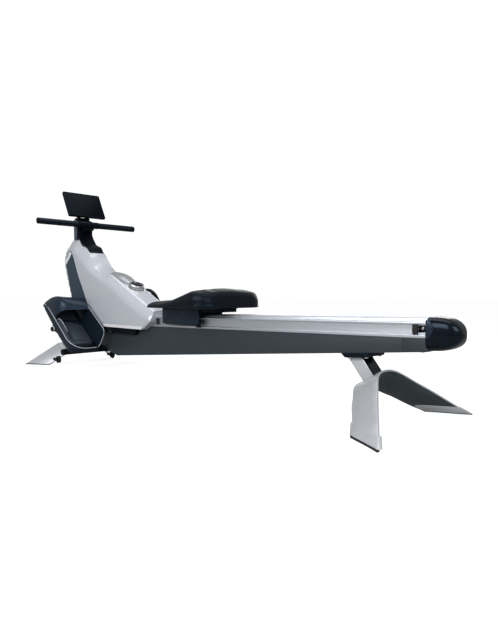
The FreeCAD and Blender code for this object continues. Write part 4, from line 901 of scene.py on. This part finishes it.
def turned(name, profile, finish, body, nodes, centre, steps=48, mirror=False):
    """A piece turned about Y from (y, radius) points in millimetres."""
    bm = bmesh.new()
    rings = []
    for y, radius in profile:
        ring = []
        for step in range(steps):
            angle = 2 * math.pi * step / steps
            ring.append(Vector((centre[0] + radius * math.cos(angle), y,
                                centre[1] + radius * math.sin(angle))) * MM)
        rings.append(ring)
    loft(bm, rings)
    if mirror:
        poured(bm, mirrored(bm))
    return finished(name, bm, finish, body, nodes, sharp=32)


# %% Handle
HANDLE_AT = (-985.0, 813.0)
GRIP_RADIUS = 17.2
GROOVE_RADIUS = 16.6
GRIP_RINGS = 54
grip = [(60.5, 13.2), (61.0, GROOVE_RADIUS), (66, GRIP_RADIUS)]
for i in range(GRIP_RINGS):
    y = 70 + 4.1 * i
    grip += [(y, GRIP_RADIUS), (y + 0.5, GROOVE_RADIUS), (y + 1.3, GROOVE_RADIUS), (y + 1.8, GRIP_RADIUS)]
grip += [(294, GRIP_RADIUS), (297, 16.7), (298, 14.0)]
turned("handle_grip_skin", grip, gloss_black, "handle", ("handle_grips",), HANDLE_AT, mirror=True)
plug = [(297.2, 10.0), (297.4, 15.4), (298.6, 15.9), (299.6, 14.4), (300.0, 10.5)]
turned("handle_plug_skin", plug, dark_plastic, "handle", ("handle_end_plugs",), HANDLE_AT, mirror=True)
turned("handle_bar_skin", [(-66.5, 12.6), (66.5, 12.6)], gloss_black, "handle", ("handle_bar",), HANDLE_AT)
eased("handle_clamp", dark_plastic, 4, segments=4)

# %% [markdown]
# The strap leaves the mast's slot and ends on the handle, so it has to stretch when the handle is
# pulled. It is one flat ribbon.

# %% Pull strap
low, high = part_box("pull_strap")
ribbon = bmesh.new()
bmesh.ops.create_cube(ribbon, size=1.0)
size = high - low
bmesh.ops.scale(ribbon, vec=(size.x, size.y, size.z), verts=ribbon.verts)
bmesh.ops.translate(ribbon, vec=(low + high) / 2, verts=ribbon.verts)
slice_up(ribbon, size.x / 12, "x")
soften(ribbon, 0.5 * MM, 2, 60)
ribbon_data = bpy.data.meshes.new("pull_ribbon")
ribbon.to_mesh(ribbon_data)
ribbon.free()
ribbon_data.materials.append(strap_web.material)
pull_ribbon = bpy.data.objects.new("pull_ribbon", ribbon_data)
scene.collection.objects.link(pull_ribbon)
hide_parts("pull_strap")
middle = (low + high) / 2
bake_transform(pull_ribbon)
print("mast, console, handle and strap ready")

# %% [markdown]
# ## Dome, dial and fan grille
# The dome is a smooth smoked hump that follows the slope. It is a stack of arches whose height
# follows the side view, with its lower rim running along the spine.

# %% Dome
dome_top = smooth_line([(-714, 531), (-690, 531), (-653, 526), (-593, 511), (-545, 490), (-508, 468),
                        (-497, 444)])
dome_half = smooth_line([(-714, 26), (-700, 38), (-670, 46), (-620, 49), (-560, 48), (-520, 40), (-497, 20)])
dome = bmesh.new()
rings = []
for i in range(41):
    x = (-712 + 214 * i / 40) * MM
    base = crest(x) - 0.004
    ring = [Vector((x, -dome_half(x), base - 0.01))]
    for step in range(21):
        across = -math.cos(math.pi * step / 20)
        lift = max(1 - abs(across) ** 2.6, 0.0) ** 0.5
        ring.append(Vector((x, across * dome_half(x), base + (dome_top(x) - base) * lift)))
    ring.append(Vector((x, dome_half(x), base - 0.01)))
    rings.append(ring)
loft(dome, rings)
finished("dome_skin", dome, dome_grey, "frame", ("slope_dome",), sharp=50)

# %% [markdown]
# The dial is turned: a silver skirt, a gloss black top with a pale pointer line, and a black gap
# ring over a pale collar. Fine grooves round the skirt give it grip.

# %% Dial
SLOPE = math.radians(24.7)
DIAL_FOOT = Vector((-482.0, 0.0, 509.0 - (-482.0 + 647.0) * math.tan(SLOPE)))


def on_slope(point):
    """A point of an upright piece, tilted square to the slope at the dial."""
    x = point.x * math.cos(SLOPE) + point.z * math.sin(SLOPE)
    z = point.z * math.cos(SLOPE) - point.x * math.sin(SLOPE)
    return (Vector((x, point.y, z)) + DIAL_FOOT) * MM


DIAL_STEPS = 144
GROOVE_EVERY = 3
GROOVE_FROM = 34


def turned_dial(name, profile, finish, body, nodes, depth=0.0):
    """A piece turned about the dial's axis. Grooves of a depth run down its outer part."""
    bm = bmesh.new()
    rings = []
    for radius, z in profile:
        ring = []
        for step in range(DIAL_STEPS):
            angle = 2 * math.pi * step / DIAL_STEPS
            cut = depth * (step % GROOVE_EVERY == 0) * (radius > GROOVE_FROM)
            ring.append(on_slope(Vector(((radius - cut) * math.cos(angle),
                                         (radius - cut) * math.sin(angle), z))))
        rings.append(ring)
    loft(bm, rings)
    return finished(name, bm, finish, body, nodes, sharp=35)


turned_dial("dial_collar_skin", [(30, 0), (49.5, 0), (50, 2), (48.5, 6.5), (46, 8), (10, 8)], white_trim,
            "frame",
            ("dial_collar",))
turned_dial("dial_skirt",
            [(9, 8.4), (38.5, 8.6), (39.8, 10), (39.4, 26), (38, 30), (36, 32), (33.5, 32.2), (32.5, 31),
                           (32.2, 30), (9, 29.9)], bright_steel, "dial", ("dial_knob",), depth=0.5)
turned_dial("dial_gap", [(36, 7.9), (41.5, 7.9), (41.5, 9.2), (36, 9.2)], dark_plastic, "frame", ())
turned_dial("dial_top", [(4, 29.5), (31.9, 29.5), (31.9, 31.0), (30.5, 31.8), (4, 32.2)], gloss_black, "dial",
            ("dial_face",))
pointer = bmesh.new()
corners = [(-28, -1.4), (-14, -1.4), (-14, 1.4), (-28, 1.4)]
rings = [[on_slope(Vector((x, y, z))) for x, y in corners] for z in (31.9, 32.9)]
loft(pointer, rings)
finished("dial_pointer", pointer, white_trim, "dial")

# %% Grille
eased("fan_guard", dark_plastic, 0.8)
arc_ribs = bmesh.new()
for i in range(9):
    x = -528 + 13.5 * i
    z = 440 - 0.42 * (x + 534) + 3 * math.sin(math.pi * i / 8)
    z = min(z, crease(x * MM) / MM + 14)
    block(arc_ribs, [(x, z - 14, 1), (x + 7, z - 17, 1), (x + 7, z + 1, 2), (x, z + 4, 2)], 74, 82)
finished("arc_ribs", arc_ribs, dark_plastic, "frame")
print("dome, dial and grille ready")

# %% [markdown]
# ## The seat
# The pad is foam under a smooth black hide: a thin lip in front, a hump behind, and two soft hollows
# for the sitting bones. We net the plan view, lift each point by the pad's side profile, then let a
# little pressure in a cloth simulation round it off, so the hide looks filled and not cut.

# %% Seat pad
pad_top = smooth_line([(-142, 376), (-120, 378), (-60, 380), (0, 385), (50, 394), (100, 407), (150, 421),
                       (190, 429), (225, 430), (255, 424), (282, 408)])
pad_view = [(-144, -184, 62), (282, -184, 80), (282, 184, 80), (-144, 184, 62)]
PAD_LOW = 349 * MM


def pad_height(x, y, drop):
    hollow = 0.004 * math.exp(-(((x - 0.11) / 0.11) ** 2)) * math.exp(-(((abs(y) - 0.08) / 0.07) ** 2))
    side = 0.014 * (abs(y) / 0.184) ** 2
    front = pad_top(x) - side - hollow
    return PAD_LOW + (front - PAD_LOW) * (1 - 0.45 * drop / 0.022)


pad = pillow(pad_view, 22, 11, pad_height, plane="xy", rings=7)
wall_in(pad, lambda co: Vector((0.06 + (co.x - 0.06) * 0.985, co.y * 0.98, PAD_LOW)))
rim = [e for e in pad.edges if e.is_boundary]
bmesh.ops.edgeloop_fill(pad, edges=rim)
cushion = finished("seat_cushion", pad, seat_leather, "seat", ("seat_pad",), sharp=60)
HIDE_GRID = 6 * MM
HIDE_PRESSURE = 4.0
HIDE_FRAMES = 20
HIDE_REACH = 4 * MM
HELD_BAND = 4 * MM
remesh = cushion.modifiers.new("even", "REMESH")
remesh.mode = "VOXEL"
remesh.voxel_size = HIDE_GRID
remesh.use_smooth_shade = True
bpy.context.view_layer.update()
even = bpy.data.meshes.new_from_object(cushion.evaluated_get(bpy.context.evaluated_depsgraph_get()))
cushion.modifiers.clear()
blob = bpy.data.objects.new("cushion_cloth", even)
scene.collection.objects.link(blob)
fixed = blob.vertex_groups.new(name="held")
fixed.add([v.index for v in even.vertices if v.co.z < PAD_LOW + HELD_BAND], 1.0, "REPLACE")
cloth = blob.modifiers.new("hide", "CLOTH")
cloth.settings.use_pressure = True
cloth.settings.uniform_pressure_force = HIDE_PRESSURE
cloth.settings.vertex_group_mass = "held"
cloth.settings.effector_weights.gravity = 0.0
cloth.settings.quality = 5
cloth.collision_settings.use_collision = False
cloth.point_cache.frame_start = 1
cloth.point_cache.frame_end = HIDE_FRAMES
for number in range(1, HIDE_FRAMES + 1):
    scene.frame_set(number)
settled = bpy.data.meshes.new_from_object(blob.evaluated_get(bpy.context.evaluated_depsgraph_get()))
for before, after in zip(even.vertices, settled.vertices):
    move = after.co - before.co
    if move.length > HIDE_REACH:
        after.co = before.co + move.normalized() * HIDE_REACH
scene.frame_set(1)
settled.materials.clear()
settled.materials.append(seat_leather.material)
settled.shade_smooth()
cushion.data = settled
bpy.data.objects.remove(blob)

# %% Seat base, covers and rollers
underframe = bmesh.new()
block(underframe, [(118, 329, 3), (222, 331, 3), (222, 351, 3), (118, 351, 3)], -60, 60)
finished("seat_underframe", underframe, bracket_paint, "seat")
eased("seat_base", dark_plastic, 2.5)
eased("carriage_covers", slate_plastic, 2.5, segments=4)
eased("carriage_frame", bracket_paint, 0.8)
for node in ("front_rollers", "rear_rollers", "lower_rollers"):
    eased(node, dark_plastic, 1)
seam = bmesh.new()
border = outline([(-139, -181, 60), (279, -181, 78), (279, 181, 78), (-139, 181, 60)], 9)
cord_along(seam, [Vector((p.x, p.y, PAD_LOW + 0.004)) for p in border + border[:1]], 0.0022, 8)
finished("seat_piping", seam, seat_leather, "seat")
print("seat ready", len(cushion.data.polygons))

# %% [markdown]
# ## Footrests
# Each footrest is a tray with a tall inner wall, a ribbed sole, a sliding heel cup and a glossy hood
# over the toes. Their rims are edged with a thin pale line, which we lay as a cord along the edge.

# %% Trays, hoods and heel cups
FOOT_TILT = math.radians(36.1)
HEEL = Vector((-717.0, 0.0, 135.0))


def on_foot(x, y, z):
    """A point of a level footrest, heel at 0 and toe towards -x, put in its tilted place."""
    turned_x = x * math.cos(FOOT_TILT) + z * math.sin(FOOT_TILT)
    turned_z = z * math.cos(FOOT_TILT) - x * math.sin(FOOT_TILT)
    return (Vector((turned_x, y, turned_z)) + HEEL) * MM


def both_sides(name, build, finish, nodes=None, bodies=("frame", "frame")):
    for side, body in zip(("right", "left"), bodies):
        bm = bmesh.new()
        build(bm)
        if side == "left":
            bm = mirrored(bm)
        stands = (nodes + "_" + side,) if nodes else ()
        finished(name + "_" + side, bm, finish, body, stands, sharp=35)


for side in ("left", "right"):
    eased("footrest_" + side, foot_plastic, 2.0, segments=3)
eased("support_bar", bracket_paint, 1)


def smooth_path(points, steps=8):
    """A flowing path through points."""
    path = []
    count = len(points)
    for i in range(count - 1):
        a = points[max(i - 1, 0)]
        b, c = points[i], points[i + 1]
        d = points[min(i + 2, count - 1)]
        for step in range(steps):
            t = step / steps
            path.append(0.5 * (2 * b + (c - a) * t + (2 * a - 5 * b + 4 * c - d) * t * t
                               + (3 * b - a - 3 * c + d) * t ** 3))
    path.append(points[-1])
    return path


def outer_rim(bm):
    y = 248
    spots = [(-385, y, -8), (-330, y, 0), (-230, y, 1.5), (-120, y, 1.5), (-60, y, 1.5), (-20, y - 12, 1.5),
             (6, y - 34, 1.5), (18, y - 66, 1.5), (19, y - 100, 1.5), (19, y - 134, 1.5)]
    cord_along(bm, smooth_path([on_foot(*spot) for spot in spots]), 2.2 * MM)


def wall_rim(bm):
    y = 98
    spots = [(19, y + 6, 4), (19, y, 30), (19, y, 84), (12, y, 103), (-8, y, 113), (-60, y, 112),
             (-140, y, 109.5),
             (-224, y, 106)]
    cord_along(bm, smooth_path([on_foot(*spot) for spot in spots]), 2.0 * MM)


both_sides("foot_outer_rim", outer_rim, rim_grey)
both_sides("foot_wall_rim", wall_rim, rim_grey)


# %% [markdown]
# The hood is a saddle: its mouth runs aslant, so that the shoe slides in from the outside. Each
# slice across the foot is one side profile, and the profiles blend from the outer one to the inner.

# %% Hoods
outer_side = [(-403, -30), (-402, 0), (-392, 30), (-372, 60), (-340, 86), (-308, 97), (-275, 84), (-248, 52)]
inner_side = [(-402, -30), (-401, 0), (-390, 28), (-350, 62), (-290, 96), (-235, 114), (-205, 116),
              (-183, 105)]


def hood(bm):
    outer_path = smooth_path([Vector((u, w, 0)) for u, w in outer_side], 5)
    inner_path = smooth_path([Vector((u, w, 0)) for u, w in inner_side], 5)
    rows = []
    for step in range(29):
        across = step / 28
        y = 250 - 153 * across
        from_outside = (250 - y) / 46
        lift = math.sqrt(max(1 - (1 - min(from_outside, 1)) ** 2.4, 0.0))
        from_inside = (y - 97) / 16
        lift *= 0.93 + 0.07 * math.sqrt(max(1 - (1 - min(from_inside, 1)) ** 2, 0.0))
        blend = across ** 0.85
        row = []
        for first, last in zip(outer_path, inner_path):
            spot = first.lerp(last, blend)
            row.append(on_foot(spot.x, y, -30 + (spot.y + 30) * lift))
        rows.append([bm.verts.new(point) for point in row])
    for first, second in zip(rows, rows[1:]):
        for i in range(len(first) - 1):
            bm.faces.new((first[i], first[i + 1], second[i + 1], second[i]))
    bmesh.ops.recalc_face_normals(bm, faces=bm.faces)
    middle = bm.faces[:][len(bm.faces) // 2]
    if middle.normal.z < 0:
        bmesh.ops.reverse_faces(bm, faces=bm.faces)
    bmesh.ops.solidify(bm, geom=bm.faces[:] + bm.edges[:] + bm.verts[:], thickness=0.004)


both_sides("hood", hood, slate_plastic, nodes="toe_hood")

# %% [markdown]
# The heel cup is the part that slides to fit a shoe. Its sole is gently domed and ribbed, with a
# raised wall round the heel.

# %% Soles and heel cups


def domed_sole(bm):
    view = [(-196, 101, 12), (-15, 101, 44), (-15, 245, 44), (-246, 245, 30), (-232, 215, 30)]
    net = pillow(view, 8, 6, lambda u, y, drop: sole_level(u, y) - drop, plane="xy", rings=4)
    wall_in(net, lambda co: Vector((co.x, co.y, -0.0272)))
    bmesh.ops.edgeloop_fill(net, edges=[e for e in net.edges if e.is_boundary])
    for vert in net.verts:
        vert.co = on_foot(vert.co.x / MM, vert.co.y / MM, vert.co.z / MM)
    poured(bm, net)


def sole_level(u, y):
    across = (y - 0.173) / 0.072
    heel = 0.016 * ramp(u, -0.07, -0.02)
    outside = 0.044 * ramp(y, 0.205, 0.240) * ramp(u, -0.25, -0.195) * (1 - 0.5 * ramp(u, -0.17, -0.06))
    groove = 0.0006 * math.sin(2 * math.pi * u / 0.012)
    return -0.014 + 0.007 * (1 - across * across) + max(heel, outside) + groove


both_sides("heel_sole", domed_sole, sole_slate, nodes="heel_cup", bodies=("heel_right", "heel_left"))


def cup_line(bm):
    places = [(-238, 239), (-222, 240), (-205, 240), (-180, 239), (-155, 237), (-132, 233), (-112, 227)]
    spots = [(u, y, sole_level(u * MM, y * MM) / MM) for u, y in places]
    cord_along(bm, smooth_path([on_foot(*spot) for spot in spots]), 1.9 * MM)


both_sides("heel_line", cup_line, rim_grey, bodies=("heel_right", "heel_left"))


def toe_sole(bm):
    for i in range(9):
        x = -268 - 12 * i
        corners = [(x, -28.2), (x + 7, -28.2), (x + 6, -24.5), (x + 1, -24.5)]
        loft(bm, [[on_foot(u, y, w) for u, w in corners] for y in (106.0, 240.0)])


both_sides("toe_ribs", toe_sole, sole_slate)

# %% [markdown]
# Outside each footrest hangs a strap end with a round knob, ringed in white, with a small pale painted
# highlight beside it.

# %% Knobs, tabs and painted highlights
KNOB_AT = (-927.0, 220.0)


def knob(bm):
    for radius, low, high in ((15, 238, 251), (12.5, 251, 262)):
        rings = []
        for y, r in ((low, radius - 1.2), (low + 1, radius), (high - 1.5, radius), (high, radius - 2)):
            angles = [2 * math.pi * k / 40 for k in range(40)]
            rings.append([Vector((KNOB_AT[0] + r * math.cos(a), y, KNOB_AT[1] + r * math.sin(a))) * MM
                          for a in angles])
        loft(bm, rings)


def knob_ring(bm):
    angles = [2 * math.pi * k / 40 for k in range(41)]
    path = [Vector((KNOB_AT[0] + 14 * math.cos(a), 252, KNOB_AT[1] + 14 * math.sin(a))) * MM for a in angles]
    cord_along(bm, path, 1.8 * MM)


def side_tab(bm):
    corners = [(-250, -60), (-190, -60), (-150, -22), (-262, -22)]
    loft(bm, [[on_foot(u, y, w) for u, w in corners] for y in (228.0, 244.0)])


# A small pale patch beside the knob: a painted highlight.
def painted_highlight_tab(bm):
    corners = [(-196, -50), (-176, -50), (-168, -34), (-192, -34)]
    loft(bm, [[on_foot(u, y, w) for u, w in corners] for y in (244.0, 246.5)])


both_sides("foot_knob", knob, gloss_black)
both_sides("foot_knob_ring", knob_ring, white_trim)
both_sides("foot_side_tab", side_tab, foot_plastic)
# The pale patch is a painted highlight beside each knob.
both_sides("foot_pale_tab", painted_highlight_tab, rim_grey)
print("footrests ready")

# %% [markdown]
# ## Size
# The dressed machine is meant to fill the same box as the solids; here we measure its box.

# %% Measure the dressed machine's box
low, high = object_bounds()
